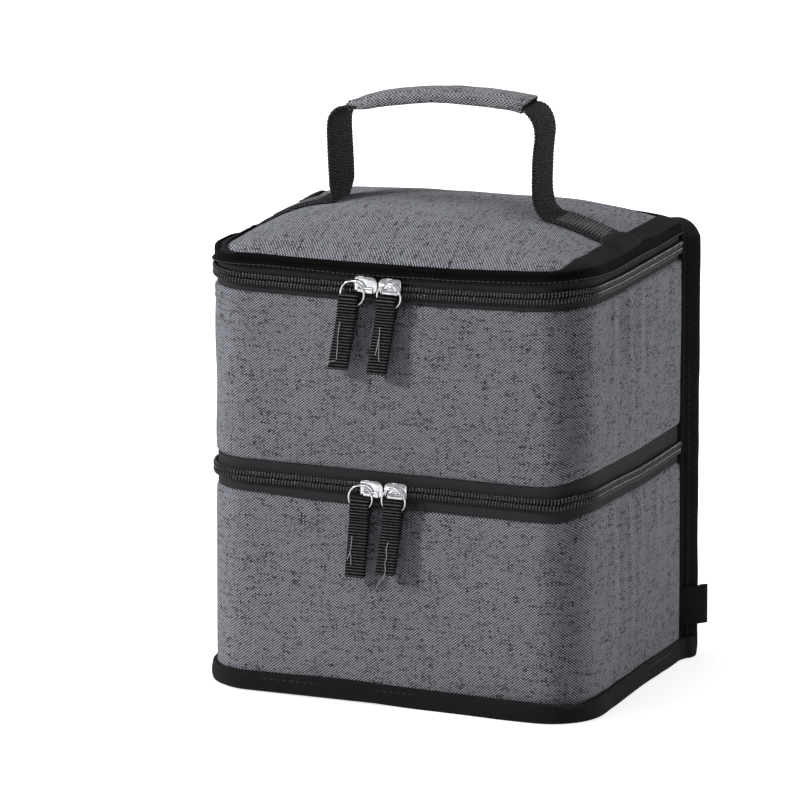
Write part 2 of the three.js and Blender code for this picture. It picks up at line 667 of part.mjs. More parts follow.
function addSliders() {
  for (const { name, zip, x, opens, bridgeShift, ringShift } of SLIDERS) {
    const centre = { x, z: zip === "lid" ? LID_FOLD : MIDDLE_FOLD };
    add(`${name}_slider`, "chrome", slider(centre, -opens, bridgeShift));
    const hang = point(x + ringShift, FRONT - SLIDER_FACE - RING_STAND_OFF, centre.z + RING_RISE - RING_MEAN);
    add(`${name}_ring`, "chrome", ring(hang));
    add(`${name}_pull`, "webbing", pull(hang));
  }
}

addLowerBox();
addUpperBox();
addLid();
addHandle();
addSliders();

export default bag;
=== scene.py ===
# Insulated bag: fabric panels, tapes, zips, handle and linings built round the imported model. Metres, +Z up.
import math

import bpy
import numpy as np
from mathutils import Matrix, Vector, noise
from mathutils.bvhtree import BVHTree


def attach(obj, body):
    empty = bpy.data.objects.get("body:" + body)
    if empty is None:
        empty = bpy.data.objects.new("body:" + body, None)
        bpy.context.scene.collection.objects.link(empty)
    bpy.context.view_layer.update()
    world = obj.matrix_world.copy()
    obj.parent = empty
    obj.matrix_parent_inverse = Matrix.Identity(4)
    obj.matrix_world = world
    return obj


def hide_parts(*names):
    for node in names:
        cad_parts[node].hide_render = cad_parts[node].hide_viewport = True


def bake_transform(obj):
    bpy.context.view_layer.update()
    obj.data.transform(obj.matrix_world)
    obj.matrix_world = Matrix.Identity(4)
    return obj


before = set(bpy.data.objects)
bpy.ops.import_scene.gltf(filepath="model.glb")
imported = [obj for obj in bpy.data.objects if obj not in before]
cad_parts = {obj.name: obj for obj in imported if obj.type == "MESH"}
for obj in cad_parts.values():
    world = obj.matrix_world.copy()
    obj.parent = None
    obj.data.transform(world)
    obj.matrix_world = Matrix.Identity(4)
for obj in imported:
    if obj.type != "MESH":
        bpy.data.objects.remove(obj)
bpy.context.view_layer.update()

MM = 0.001

# Sizes of the bag that the soft pieces follow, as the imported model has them.
WIDTH, DEPTH, CORNER = 0.220, 0.150, 0.025
BACK = DEPTH / 2
FRONT = -DEPTH / 2
MIDDLE_FOLD, LID_FOLD = 0.121, 0.234
LOWER_TOP, UPPER_LOW, UPPER_TOP = 0.112, 0.130, 0.2265
LID_CROWN = 0.0176
SIDE_RUN = DEPTH - CORNER
ARC_RUN = math.pi * CORNER / 2
FRONT_RUN = WIDTH - 2 * CORNER
WALL_RUN = 2 * SIDE_RUN + 2 * ARC_RUN + FRONT_RUN
MIDDLE_OF_FRONT = WALL_RUN / 2
RIM_END = 0.0076  # how far from the back corners the linings and rim tapes stop
RIM_LEG = -0.0079  # how far in the rim tapes' inner legs hang
SPLICE, BACK_TOP = 0.1325, 0.2478  # where the two back cloths meet, and where the upper one ends
LID_RIM = 0.2470  # height of the lid's cloth at its edge
UP, BACKWARDS = Vector((0, 0, 1)), Vector((0, 1, 0))
SIDES = {-1: "left", 1: "right"}
# Pieces that cross from one body to another: the two bodies, and two points, below and above the fold between them.
MIDDLE_BEND = ("lower_box", "upper_box", (0, BACK, 0.117), (0, BACK, 0.125))
LID_BEND = ("upper_box", "lid", (0, BACK, 0.230), (0, BACK, 0.238))
STRAP_BEND = ("lid", "handle", (0, 0, 0.262), (0, 0, 0.292))


def aimed(name, data, place, ahead):
    """Adds a camera or lamp that looks along a direction."""
    made = bpy.data.objects.new(name, data)
    bpy.context.scene.collection.objects.link(made)
    made.location = place
    made.rotation_mode = "QUATERNION"
    made.rotation_quaternion = ahead.to_track_quat("-Z", "Y")
    return made


# Camera at the photograph's angle.
def add_camera():
    azimuth, elevation, distance = math.radians(22.07), math.radians(13.99), 6.0
    right = Vector((math.cos(azimuth), math.sin(azimuth), 0))
    back = Vector((math.sin(azimuth) * math.cos(elevation), -math.cos(azimuth) * math.cos(elevation),
                   math.sin(elevation)))
    up = back.cross(right)
    place = Vector((0, 0, 0.12)) - right * 0.0232 + up * 0.0325 + back * distance
    camera = aimed("camera", bpy.data.cameras.new("camera"), place, -back)
    camera.data.lens = 494.7
    camera.data.sensor_width = 36
    camera.data.clip_end = 50
    bpy.context.scene.camera = camera


add_camera()


# Finishes are small node trees. Patterns that follow the cloth read the piece's own UV map, which is in metres.
class Value:
    """A node's output; each sum with it adds a math node."""

    def __init__(self, tree, socket):
        self.tree, self.socket = tree, socket

    def math(self, operation, other=0.0):
        return self.tree.node("ShaderNodeMath", self, other, operation=operation)

    def __add__(self, other):
        return self.math("ADD", other)

    def __sub__(self, other):
        return self.math("SUBTRACT", other)

    def __mul__(self, other):
        return self.math("MULTIPLY", other)

    def __truediv__(self, other):
        return self * (1 / other)

    def __pow__(self, other):
        return self.math("POWER", other)

    def ribs(self, pitch=1.0):
        """Rounded ribs from 0 to 1, one for each pitch."""
        return (self * (math.pi / pitch)).math("SINE").math("ABSOLUTE")


class Tree:
    def __init__(self, owner):
        owner.use_nodes = True
        self.nodes, self.links = owner.node_tree.nodes, owner.node_tree.links

    def put(self, socket, value):
        if isinstance(value, Value):
            self.links.new(value.socket, socket)
        else:
            socket.default_value = value

    def node(self, kind, *values, out=0, named=None, **settings):
        made = self.nodes.new(kind)
        for key, value in settings.items():
            setattr(made, key, value)
        for index, value in [*enumerate(values), *(named or {}).items()]:
            if value is not None:
                self.put(made.inputs[index], value)
        return Value(self, made.outputs[out])

    def seen(self):
        """1 where the camera looks straight at it, less in a mirror image, and 0 for the light it gives."""
        straight, mirrored = [self.node("ShaderNodeLightPath", out=f"Is {ray} Ray") for ray in ("Camera", "Glossy")]
        return straight.math("MAXIMUM", mirrored * 0.35)


class Finish(Tree):
    def __init__(self, name, color, roughness, metallic=0.0, specular=0.5, sheen=0.0):
        self.material = bpy.data.materials.new(name)
        super().__init__(self.material)
        self.surface = self.nodes["Principled BSDF"]
        for socket, value in (("Base Color", (*color, 1)), ("Roughness", roughness), ("Metallic", metallic),
                              ("Specular IOR Level", specular), ("Sheen Weight", sheen), ("Sheen Roughness", 0.6)):
            self.set(socket, value)

    def set(self, socket, value):
        self.put(self.surface.inputs[socket], value)

    def split(self, vector):
        return [self.node("ShaderNodeSeparateXYZ", vector, out=axis) for axis in range(3)]

    def cloth(self):
        return self.split(self.node("ShaderNodeUVMap"))[:2]

    def place(self):
        return self.node("ShaderNodeTexCoord", out="Object")

    def noise(self, place, scale=1.0, detail=2.0, roughness=0.5):
        if isinstance(place, tuple):
            place = self.node("ShaderNodeCombineXYZ", *place)
        return self.node("ShaderNodeTexNoise",
                         named={"Vector": place, "Scale": scale, "Detail": detail, "Roughness": roughness})

    def color(self, value, *stops):
        """Colours the surface by value, from stops of (value, colour)."""
        made = self.nodes.new("ShaderNodeValToRGB")
        self.put(made.inputs[0], value)
        band = made.color_ramp
        while len(band.elements) < len(stops):
            band.elements.new(0.5)
        for element, (at, color) in zip(band.elements, stops):
            element.position, element.color = at, (*color, 1)
        self.set("Base Color", Value(self, made.outputs[0]))

    def bump(self, height, distance, strength=1.0):
        self.set("Normal", self.node("ShaderNodeBump",
                                     named={"Height": height, "Distance": distance, "Strength": strength}))


def tint(color, amount):
    return tuple(amount * c for c in color)


def melange(name, dark, light, warp_pitch=0.00100, weft_pitch=0.00078):
    """Plain weave of pale warp over dark weft: each yarn's tone changes slowly along it, so the weft makes streaks."""
    f = Finish(name, (0.16, 0.16, 0.17), 0.95, specular=0.08, sheen=0.05)
    u, v = f.cloth()
    across, along = u / warp_pitch, v / weft_pitch
    warp, weft = across.math("FLOOR"), along.math("FLOOR")
    over = (warp + weft + 20000.0).math("MODULO", 2.0)
    warp_tone = f.noise((warp * 5.37, along * 0.05), 1.0, 1.0, 0.6)
    weft_tone = f.noise((across * 0.12, weft * 7.91, 3.7), 1.0, 2.0, 0.6)
    fleck = f.node("ShaderNodeTexWhiteNoise", f.node("ShaderNodeCombineXYZ", warp, weft), noise_dimensions="2D")
    patch = f.noise((u * 70.0, v * 120.0, 5.5))
    total = weft_tone * 1.3 + warp_tone * 0.6 + patch * 0.25 + fleck * 0.50 - over - 0.325
    middle = tuple(0.87 * a + 0.13 * b for a, b in zip(dark, light))
    f.color(total, (0.02, dark), (0.50, middle), (0.98, light))
    f.bump(fleck * 0.5 + f.node("ShaderNodeMix", over, None, across.ribs(), along.ribs()), 0.00012)
    f.set("Roughness", patch * 0.12 + 0.82)
    return f.material


def woven_black(name, color, pitch, roughness=0.78, relief=0.00008, lint=0.3, gloss=0.10):
    """Black tape: fine ribs across, crossed by finer ones, with a little lint."""
    f = Finish(name, color, roughness, specular=gloss, sheen=0.1 * gloss)
    u, v = f.cloth()
    fuzz, patch = f.noise((u * 1800.0, v * 1800.0)), f.noise((u * 90.0, v * 140.0), detail=3.0)
    f.bump(u.ribs(pitch) + v.ribs(pitch * 0.8) * 0.25 + fuzz * 0.5, relief, 0.9)
    f.color(fuzz * lint + patch * 0.45, (0.15, tint(color, 0.4)), (0.60, tint(color, 1.9)))
    f.set("Roughness", patch * 0.2 + (roughness - 0.1))
    return f.material


def herringbone(name, color):
    """Handle webbing: slanting ribs that turn back at each of eight columns, paler on their crests as a painted
    highlight.
    """
    f = Finish(name, color, 0.85, specular=0.05)
    u, v = f.cloth()
    column = (v / 0.0030).math("PINGPONG", 1.0)
    both = (u / 0.0016 + column * 1.1).ribs() + v.ribs(0.00155) * 0.8
    fuzz = f.noise((u * 900.0, v * 1500.0), detail=3.0)
    f.bump(both + fuzz * 0.4, 0.00022)
    # Colour follows the rib height: a painted highlight on the crests, broken up by fuzz noise.
    f.color((both * 0.55) ** 2.0 * (fuzz * 4.6 - 1.5), (0.05, tint(color, 0.15)), (0.95, tint(color, 13.0)))
    return f.material


def ribbed_webbing(name, color, pitch):
    """Ribbed webbing of the pulls: pale on each rib's crest as a painted highlight, near black between as painted
    shade, with the yarns showing as fine dashes.
    """
    f = Finish(name, color, 0.8, specular=0.04)
    u, v = f.cloth()
    crest, dash = u.ribs(pitch), v.ribs(0.00055)
    patchiness = f.noise((u * 500.0, v * 500.0), detail=3.0)
    # Painted highlight on each rib's crest, broken by the yarn dashes and by noise; the ramp's dark end is painted
    # shade between the ribs.
    tone = crest ** 4.0 * (dash * 0.5 + 0.5) * (patchiness * 1.2 + 0.3)
    f.color(tone, (0.14, tint(color, 0.04)), (0.85, tint(color, 10.0)))
    f.bump(crest + dash * 0.5, 0.00012, 0.9)
    f.set("Roughness", patchiness * 0.3 + 0.5)
    return f.material


def crinkled_foil(name):
    """Silver film with sharp crinkles."""
    f = Finish(name, (0.62, 0.63, 0.64), 0.28, metallic=0.9)
    folds = f.noise(f.place(), 95.0, 5.0, 0.65)
    cells = f.node("ShaderNodeTexVoronoi", named={"Vector": f.place(), "Scale": 120.0})
    f.bump(cells * 0.7 + folds, 0.0012, 0.8)
    f.color(folds, (0.3, (0.42, 0.43, 0.44)), (0.7, (0.72, 0.73, 0.74)))
    f.set("Roughness", folds * 0.25 + 0.18)
    return f.material


def nylon(name):
    f = Finish(name, (0.0015, 0.0015, 0.0018), 0.26, specular=0.75)
    spots = f.noise(f.place(), 1400.0)
    f.set("Roughness", spots * 0.08 + 0.22)
    f.bump(spots, 0.00001, 0.2)
    return f.material


def chrome(name):
    f = Finish(name, (0.60, 0.61, 0.63), 0.12, metallic=1.0)
    smear = f.noise(f.place(), 420.0, 3.0, 0.6)
    f.color(smear, (0.30, (0.55, 0.56, 0.58)), (0.65, (0.84, 0.85, 0.87)))
    f.set("Roughness", smear * 0.14 + 0.05)
    f.bump(f.noise(f.place(), 260.0), 0.00012, 0.35)
    return f.material


def thread(name, color):
    f = Finish(name, color, 0.6, specular=0.3, sheen=0.2)
    x, y, z = f.split(f.place())
    twist = ((x + y + z) * 9000.0).math("SINE")
    f.bump(twist, 0.00005, 0.6)
    f.color(twist * 0.5 + 0.5, (0.0, tint(color, 0.7)), (1.0, color))
    return f.material


def coated_black(name):
    """Coated base cloth with a small diamond grain."""
    f = Finish(name, (0.014, 0.014, 0.015), 0.6, specular=0.4)
    u, v = f.cloth()
    patchiness = f.noise((u * 40.0, v * 40.0), detail=4.0)
    f.bump(((u + v) * 3600.0).math("SINE") * ((u - v) * 3600.0).math("SINE"), 0.00009, 0.7)
    f.color(patchiness, (0.3, (0.009, 0.009, 0.010)), (0.8, (0.024, 0.024, 0.026)))
    f.set("Roughness", patchiness * 0.3 + 0.42)
    return f.material


def open_foam(name):
    f = Finish(name, (0.62, 0.62, 0.60), 0.95, specular=0.1)
    cells = f.noise(f.place(), 1800.0)
    f.bump(cells, 0.0002, 0.6)
    f.color(cells, (0.3, (0.48, 0.48, 0.46)), (0.7, (0.70, 0.70, 0.68)))
    return f.material


MELANGE = melange("melange_weave", (0.007, 0.0073, 0.0090), (0.42, 0.434, 0.484))
GRIP_CLOTH = melange("grip_weave", (0.010, 0.0103, 0.0115), (0.45, 0.459, 0.492), 0.00112, 0.00092)
BINDING = woven_black("binding_tape", (0.0058, 0.0058, 0.0062), 0.00062, relief=0.00014, lint=0.7)
# A darker copy of the binding tape for the lid's edge: painted shade on its lip and the groove under it.
BINDING_PAINTED_SHADE = woven_black("binding_tape_painted_shade", (0.0020, 0.0020, 0.0022), 0.00062, relief=0.00012, lint=0.7, gloss=0.04)
ZIP_TAPE = woven_black("zip_tape", (0.0200, 0.0200, 0.0212), 0.00085, relief=0.00010, lint=0.9, gloss=0.05)
LABEL = woven_black("label_satin", (0.0030, 0.0030, 0.0033), 0.00030, roughness=0.5, relief=0.00003, lint=0.1)
PULL_WEBBING = ribbed_webbing("pull_webbing", (0.0110, 0.0110, 0.0120), 0.00165)
WEBBING = herringbone("handle_webbing", (0.0080, 0.0080, 0.0086))
FOIL = crinkled_foil("foil_film")
NYLON = nylon("zip_nylon")
CHROME = chrome("polished_zinc")
BLACK_THREAD = thread("black_thread", (0.010, 0.010, 0.011))
DIM_THREAD = thread("dim_thread", (0.15, 0.15, 0.16))
EDGE_THREAD = thread("edge_thread", (0.030, 0.030, 0.032))
GREY_THREAD = thread("grey_thread", (0.42, 0.42, 0.44))
BASE_CLOTH = coated_black("base_cloth")
PRINT = thread("print_ink", (0.010, 0.010, 0.011))
FOAM = open_foam("open_foam")


# Shapes: sheets, swept sections and small closed solids, each of them one mesh.
def new_object(name, points, faces, material, uvs=None):
    mesh = bpy.data.meshes.new(name)
    mesh.from_pydata([tuple(p) for p in points], [], faces)
    if uvs is not None:
        layer = mesh.uv_layers.new(name="UVMap")
        flat = np.array(uvs, float)[[loop.vertex_index for loop in mesh.loops]]
        layer.data.foreach_set("uv", flat.astype(np.float32).ravel())
    mesh.materials.append(material)
    made = bpy.data.objects.new(name, mesh)
    bpy.context.scene.collection.objects.link(made)
    return made


def only(piece):
    bpy.ops.object.select_all(action="DESELECT")
    piece.select_set(True)
    bpy.context.view_layer.objects.active = piece


def modify(piece, kind, **settings):
    made = piece.modifiers.new(kind, kind)
    for key, value in settings.items():
        setattr(made, key, value)
    only(piece)
    bpy.ops.object.modifier_apply(modifier=made.name)


def smooth(piece, degrees=50):
    only(piece)
    bpy.ops.object.shade_smooth_by_angle(angle=math.radians(degrees))


def outward(piece):
    """Turns the faces of a closed piece outwards."""
    only(piece)
    bpy.ops.object.mode_set(mode="EDIT")
    bpy.ops.mesh.select_all(action="SELECT")
    bpy.ops.mesh.normals_make_consistent(inside=False)
    bpy.ops.object.mode_set(mode="OBJECT")


def thicken(piece, thickness):
    modify(piece, "SOLIDIFY", thickness=thickness, offset=-1.0, use_even_offset=False)
    smooth(piece)
    return piece


def sheet(name, grid, material, thickness):
    """A cloth of the given thickness, laid under a grid of (point, uv); the uvs are metres along and across."""
    width = len(grid[0])
    points, uvs = zip(*[cell for row in grid for cell in row])
    faces = [(a, a + width, a + width + 1, a + 1)
             for i in range(len(grid) - 1) for a in range(i * width, (i + 1) * width - 1)]
    return thicken(new_object(name, points, faces, material, uvs), thickness)


def closed(piece, degrees=60):
    outward(piece)
    smooth(piece, degrees)
    return piece


def run_lengths(points):
    runs = [0.0]
    for a, b in zip(points, points[1:]):
        runs.append(runs[-1] + (b - a).length)
    return runs


def heading(path, i):
    """The way that a path runs at its point i."""
    return (path[min(i + 1, len(path) - 1)] - path[max(i - 1, 0)]).normalized()


def spaced(low, high, step):
    count = round((high - low) / step)
    return [low + (high - low) * i / count for i in range(count + 1)]


def rounded(corners, radius, steps=3):
    """A closed section with its corners rounded, each by the given radius or its own."""
    done = []
    count = len(corners)
    for i, corner in enumerate(corners):
        here = Vector(corner[:2])
        back, ahead = Vector(corners[i - 1][:2]) - here, Vector(corners[(i + 1) % count][:2]) - here
        size = corner[2] if len(corner) > 2 else radius
        size = min(size, 0.49 * back.length, 0.49 * ahead.length)
        start, end = here + back.normalized() * size, here + ahead.normalized() * size
        for k in range(steps + 1):
            t = k / steps
            done.append(start * (1 - t) ** 2 + here * 2 * t * (1 - t) + end * t ** 2)
    return done


def swept(name, stations, section, material, ring=False, wave=None):
    """A section carried along stations of (point, out, up, distance); the section's points are (out, up)."""
    lengths = run_lengths(section + section[:1])
    if ring:
        at, out, up, _ = stations[0]
        stations = stations + [(at, out, up, stations[-1][3] + (at - stations[-1][0]).length)]
    points, maps = [], []
    for at, out, up, run in stations:
        turn = stations[0][3] if ring and run == stations[-1][3] else run
        for k, p in enumerate(section + section[:1]):
            extra = wave(turn, p) if wave else (0.0, 0.0)
            points.append(at + out * (p.x + extra[0]) + up * (p.y + extra[1]))
            maps.append((run, lengths[k]))
    width, last = len(section) + 1, (len(stations) - 1) * (len(section) + 1)
    faces = [(a, a + 1, a + width + 1, a + width) for i in range(0, last, width) for a in range(i, i + width - 1)]
    if not ring:
        faces += [tuple(range(width - 2, -1, -1)), tuple(range(last, last + width - 1))]
    made = new_object(name, points, faces, material, maps)
    modify(made, "WELD", merge_threshold=0.000002)
    return closed(made, 50)


def clamp(value):
    return min(1.0, max(0.0, value))


def plan(run, out=0.0):
    """A point of the bag's outline, run metres from its left back end, moved out; and the direction out."""
    side = -1 if run < MIDDLE_OF_FRONT else 1
    near = min(run, WALL_RUN - run)
    turn = clamp((near - SIDE_RUN) / ARC_RUN) * math.pi / 2
    normal = Vector((side * math.cos(turn), -math.sin(turn), 0))
    corner = Vector((side * (WIDTH / 2 - CORNER - max(0.0, near - SIDE_RUN - ARC_RUN)),
                     FRONT + CORNER + max(0.0, SIDE_RUN - near), 0))
    return corner + normal * (CORNER + out), normal


def wall_runs(step, start=0.0013):
    """Distances round the outline, start metres in from both of its back ends."""
    return spaced(start, WALL_RUN - start, step)


def along_wall(step=0.003, start=0.0013):
    return [(*plan(run), UP, run) for run in wall_runs(step, start)]


def ripple(x, y, z=0.0):
    """Smooth noise from -1 to 1, the same on each run."""
    return noise.noise(Vector((x, y, z)))


def bell(value, middle, width):
    return math.exp(-((value - middle) / width) ** 2)


def ease(value):
    value = clamp(value)
    return value * value * (3 - 2 * value)


def stands_for(piece, nodes):
    """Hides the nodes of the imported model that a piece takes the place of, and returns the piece."""
    if nodes:
        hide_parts(*nodes)
    return piece


def ride(piece, body, slot, *nodes):
    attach(piece, body)
    return stands_for(piece, nodes)


def cross(piece, bend, slot, *nodes):
    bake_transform(piece)
    return stands_for(piece, nodes)


def circle(centre, x, y, radius, sides):
    angles = [2 * math.pi * k / sides for k in range(sides)]
    return [centre + (x * math.cos(angle) + y * math.sin(angle)) * radius for angle in angles]


def tube(points, faces, rings):
    """Adds rings of points, joined in order and capped at both ends."""
    base, sides = len(points), len(rings[0])
    points += [p for ring in rings for p in ring]
    last = base + (len(rings) - 1) * sides
    for a in range(base, last, sides):
        faces += [(a + k, a + (k + 1) % sides, a + sides + (k + 1) % sides, a + sides + k) for k in range(sides)]
    faces += [tuple(range(base + sides - 1, base - 1, -1)), tuple(range(last, last + sides))]


# One stitch: the share of its length, the share of its radius, and its rise in radii, at five rings.
STITCH = [(0.0, 0.35, -0.6), (0.18, 1.0, 0.15), (0.5, 1.05, 0.4), (0.82, 1.0, 0.15), (1.0, 0.35, -0.6)]


def stitches(name, places, material, length=0.0026, gap=0.0009, radius=0.00026):
    """Short rounded threads in one mesh, along places of (point, normal)."""
    runs = run_lengths([at for at, _ in places])
    columns = np.array([[*at, *normal] for at, normal in places]).T

    def look(run):
        here = [np.interp(run, runs, column) for column in columns]
        return Vector(here[:3]), Vector(here[3:]).normalized()

    points, faces = [], []
    run = gap / 2
    while run + length < runs[-1]:
        ahead = (look(run + length)[0] - look(run)[0]).normalized()
        rings = []
        for share, size, rise in STITCH:
            centre, normal = look(run + share * length)
            side = normal.cross(ahead).normalized()
            up = ahead.cross(side)
            rings.append(circle(centre + up * (rise * radius), side, up, radius * size, 6))
        tube(points, faces, rings)
        run += length + gap
    return closed(new_object(name, points, faces, material))


# Modelling by hand: primitives at their size and place, shaped in edit mode.
def pick(piece, kind, choose):
    """Edit mode with only the chosen vertices, edges or faces selected."""
    only(piece)
    bpy.ops.object.mode_set(mode="EDIT")
    bpy.ops.mesh.select_mode(type=kind)
    bpy.ops.mesh.select_all(action="DESELECT")
    bpy.ops.object.mode_set(mode="OBJECT")
    mesh = piece.data
    if kind == "VERT":
        for v in mesh.vertices:
            v.select = choose(v.co)
    elif kind == "EDGE":
        for e in mesh.edges:
            e.select = choose(*[mesh.vertices[i].co for i in e.vertices])
    else:
        for f in mesh.polygons:
            f.select = choose(f.center, f.normal)
    bpy.ops.object.mode_set(mode="EDIT")


def done():
    bpy.ops.object.mode_set(mode="OBJECT")


def placed(name, material):
    """Names the primitive just added and sets it down where it is."""
    made = bpy.context.object
    made.name = name
    bpy.ops.object.transform_apply(location=True, rotation=True, scale=True)
    made.data.materials.append(material)
    return made


def torus(name, material, radii, segments, rotation, middle):
    """A ring: radii and segments are those of the whole ring and of its wire."""
    bpy.ops.object.select_all(action="DESELECT")
    bpy.ops.mesh.primitive_torus_add(major_radius=radii[0], minor_radius=radii[1], major_segments=segments[0],
                                     minor_segments=segments[1], rotation=rotation, location=middle)
    return placed(name, material)


def scaled(piece, choose, value, middle):
    pick(piece, "VERT", choose)
    bpy.ops.transform.resize(value=value, center_override=middle)
    done()


def cube(name, low, high):
    """A chrome block between two corners, in millimetres."""
    bpy.ops.object.select_all(action="DESELECT")
    bpy.ops.mesh.primitive_cube_add(size=1, location=[(a + b) / 2 * MM for a, b in zip(low, high)])
    bpy.context.object.scale = [(b - a) * MM for a, b in zip(low, high)]
    return placed(name, CHROME)


def bevel(piece, choose, offset, segments):
    pick(piece, "EDGE", choose)
    bpy.ops.mesh.bevel(offset=offset * MM, segments=segments, profile=0.5, affect="EDGES")
    done()


def joined(pieces):
    only(pieces[0])
    for piece in pieces[1:]:
        piece.select_set(True)
    bpy.ops.object.join()
    return pieces[0]


def copied(piece, name, places):
    """Copies of a small shape in one mesh; places are (point, x axis, y axis, z axis)."""
    shape = np.array([v.co for v in piece.data.vertices])
    faces = [list(f.vertices) for f in piece.data.polygons]
    points, whole = [], []
    for i, (at, *axes) in enumerate(places):
        points.append(shape @ np.array(axes) + np.array(at))
        whole += [[k + i * len(shape) for k in f] for f in faces]
    return closed(new_object(name, np.concatenate(points), whole, piece.data.materials[0]))


# The filled bag is not level: its zips and lid sag at the left of the front and stand high at its right corner.
# Each table is read by a place in millimetres.
LID_ZIP_SAG = ([-121, -94, -69, -49, -23, 27, 56, 79, 91, 103, 112],
               [-2.4, -2.8, -3.0, -3.0, -2.7, -2.1, -1.0, 0, 1.0, 2.2, 2.7])
LID_EDGE_SAG = ([-112, -94, -78, -55, -26, 21, 35, 57, 79, 97, 112],
                [-2.6, -3.0, -3.2, -3.4, -3.7, -2.7, -2.9, -2.0, -0.3, 1.5, 3.2])
LEFT_SIDE = ([-85, -60, -35, -5, 20, 45, 65, 85], [1, 1, 1.25, 1.9, 2.1, 1.5, 0.7, 0.2])
RIGHT_SIDE = ([-85, -63, -49, -20, 59], [1, 1, 0.7, 0.1, -0.2])
MIDDLE_RISE = ([96, 104, 112], [0, 1.7, 3.0])
MIDDLE_SIDES = ([-63, -49, -20, 8, 37, 59], [1, 0.9, 0.5, -0.05, -0.2, -0.1])
TALL_TAPE = ([84, 95, 104, 111], [0, 1.2, 2.2, 3.7])
LOW_TAPE = ([-80, -45, 95, 108], [0, -1.6, -1.6, 0])
SIDE_BANDS = {-1: ([-74, -66, -56, -48, -33, -22, -10, 6, 18, 30, 45, 75],
                   [1.5, 5, 9, 9.5, 8.5, 6.5, 3.5, 1.6, 4.5, 10.5, 13, 13]),
              1: ([-74, -66, -56, -45, -24, 0, 15, 75], [0.8, 6.0, 11.0, 11.5, 11.5, 10.5, 10, 10])}


def read(table, place):
    return np.interp(place / MM, *table)


def lid_zip_sag(at):
    return MM * read(LID_ZIP_SAG, at.x) * read(LEFT_SIDE if at.x < 0 else RIGHT_SIDE, at.y)


def middle_zip_rise(at):
    return MM * read(MIDDLE_RISE, at.x) * read(MIDDLE_SIDES, at.y)


def tall_tape(at):
    """The tape above the middle zip is wider round the right corner and side."""
    return MM * read(TALL_TAPE, at.x)


def low_tape(at):
    """The tape below the middle zip is wider along the front."""
    return MM * read(LOW_TAPE, at.x) * ease((-0.05 - at.y) / 0.02)


def nudge(piece, lift):
    for v in piece.data.vertices:
        v.co.z += lift(v.co)
    return piece


def lid_shift(x, y):
    side, front, back = max(0.0, (-x - 0.066) / 0.044), ease(1 - (y + 0.075) / 0.05), ease(y / 0.045)
    return (-0.0065 * side * side * (1 - 0.55 * front) - 0.0042 * side * side * bell(y, 0.016, 0.034)
            + MM * read(LID_EDGE_SAG, x) * front + 0.0010 * bell(x, 0.055, 0.035)
            + 0.0023 * bell(x, 0.060, 0.036) * back * ease((0.085 - y) / 0.03)
            - 0.0012 * ease((x - 0.085) / 0.025) * back)


def settle(piece, start=None, end=None):
    """Moves a piece of the lid by lid_shift: all of it, or growing from the height start to the height end."""
    return nudge(piece, lambda at: lid_shift(at.x, at.y) * (ease((at.z - start) / (end - start)) if end else 1.0))


# Wall panels: foam-backed cloth round the front and both sides, puffed between its seams.
LOWER_WALL = {"low": 0.0015, "high": LOWER_TOP, "depth": 0.0030, "seams": []}
UPPER_WALL = {"low": UPPER_LOW, "high": UPPER_TOP, "depth": 0.0032,
              "seams": [(UPPER_TOP - 0.0098, 0.0005), (UPPER_TOP - 0.0048, 0.0002)]}

# Soft upright folds: middle, width and depth of each, and how far down it fades.
CREASES = [
    (0.060, 0.0036, 0.0007, 0.045), (0.086, 0.0028, -0.0006, 0.030), (0.116, 0.004, 0.0009, 0.055),
    (SIDE_RUN + ARC_RUN * 0.6, 0.0042, -0.0008, 0.05), (SIDE_RUN + ARC_RUN + 0.012, 0.005, 0.0005, 0.05),
    (MIDDLE_OF_FRONT + 0.070, 0.006, 0.0006, 0.06),
    *[(WALL_RUN - back, *rest) for back, *rest in [
        (SIDE_RUN + ARC_RUN * 0.75, 0.0045, -0.0009, 0.06), (SIDE_RUN + ARC_RUN * 0.2, 0.0045, 0.0008, 0.05),
        (0.105, 0.0036, 0.0016, 0.070), (0.094, 0.0034, -0.0022, 0.070), (0.084, 0.0030, 0.0022, 0.085),
        (0.066, 0.0036, 0.0018, 0.060), (0.056, 0.0030, -0.0014, 0.060), (0.040, 0.004, 0.0014, 0.05),
        (0.020, 0.003, -0.0008, 0.05)]]]


def creases(run, drop):
    """The folds hang from the seam above, deepest near the corners and on the sides."""
    total = 0.0
    for middle, width, depth, length in CREASES:
        lean = middle + 0.06 * drop * math.sin(middle * 170)
        total += depth * bell(run, lean, width) * math.exp(-drop / length) * min(1.0, drop / 0.006)
    return total


def wall_out(run, z, wall):
    """How far a wall panel stands out of the bag's flat outline."""
    low, high = wall["low"], wall["high"]
    t = clamp((z - low) / (high - low))
    pillow = (4 * t * (1 - t)) ** 0.55
    near = run if run <= MIDDLE_OF_FRONT else WALL_RUN - run
    share = np.interp(near, [0.0, SIDE_RUN * 0.5, SIDE_RUN + ARC_RUN / 2, MIDDLE_OF_FRONT], [0.5, 0.8, 0.3, 1.0])
    at = plan(run)[0]
    slow = ripple(at.x * 14, at.y * 14, z * 17 + 3.1) * 0.0011 + ripple(at.x * 34, at.y * 34, z * 30) * 0.0005
    out = wall["depth"] * pillow * share + slow * pillow + creases(run, high - z)
    out -= 0.0011 * max(0.0, 1 - min(z - low, high - z) / 0.0016) ** 2
    for seam, step in wall["seams"]:
        out += step * (0.5 + 0.5 * math.tanh((z - seam) / 0.0006)) - 0.00035 * bell(z, seam, 0.0008)
    return out


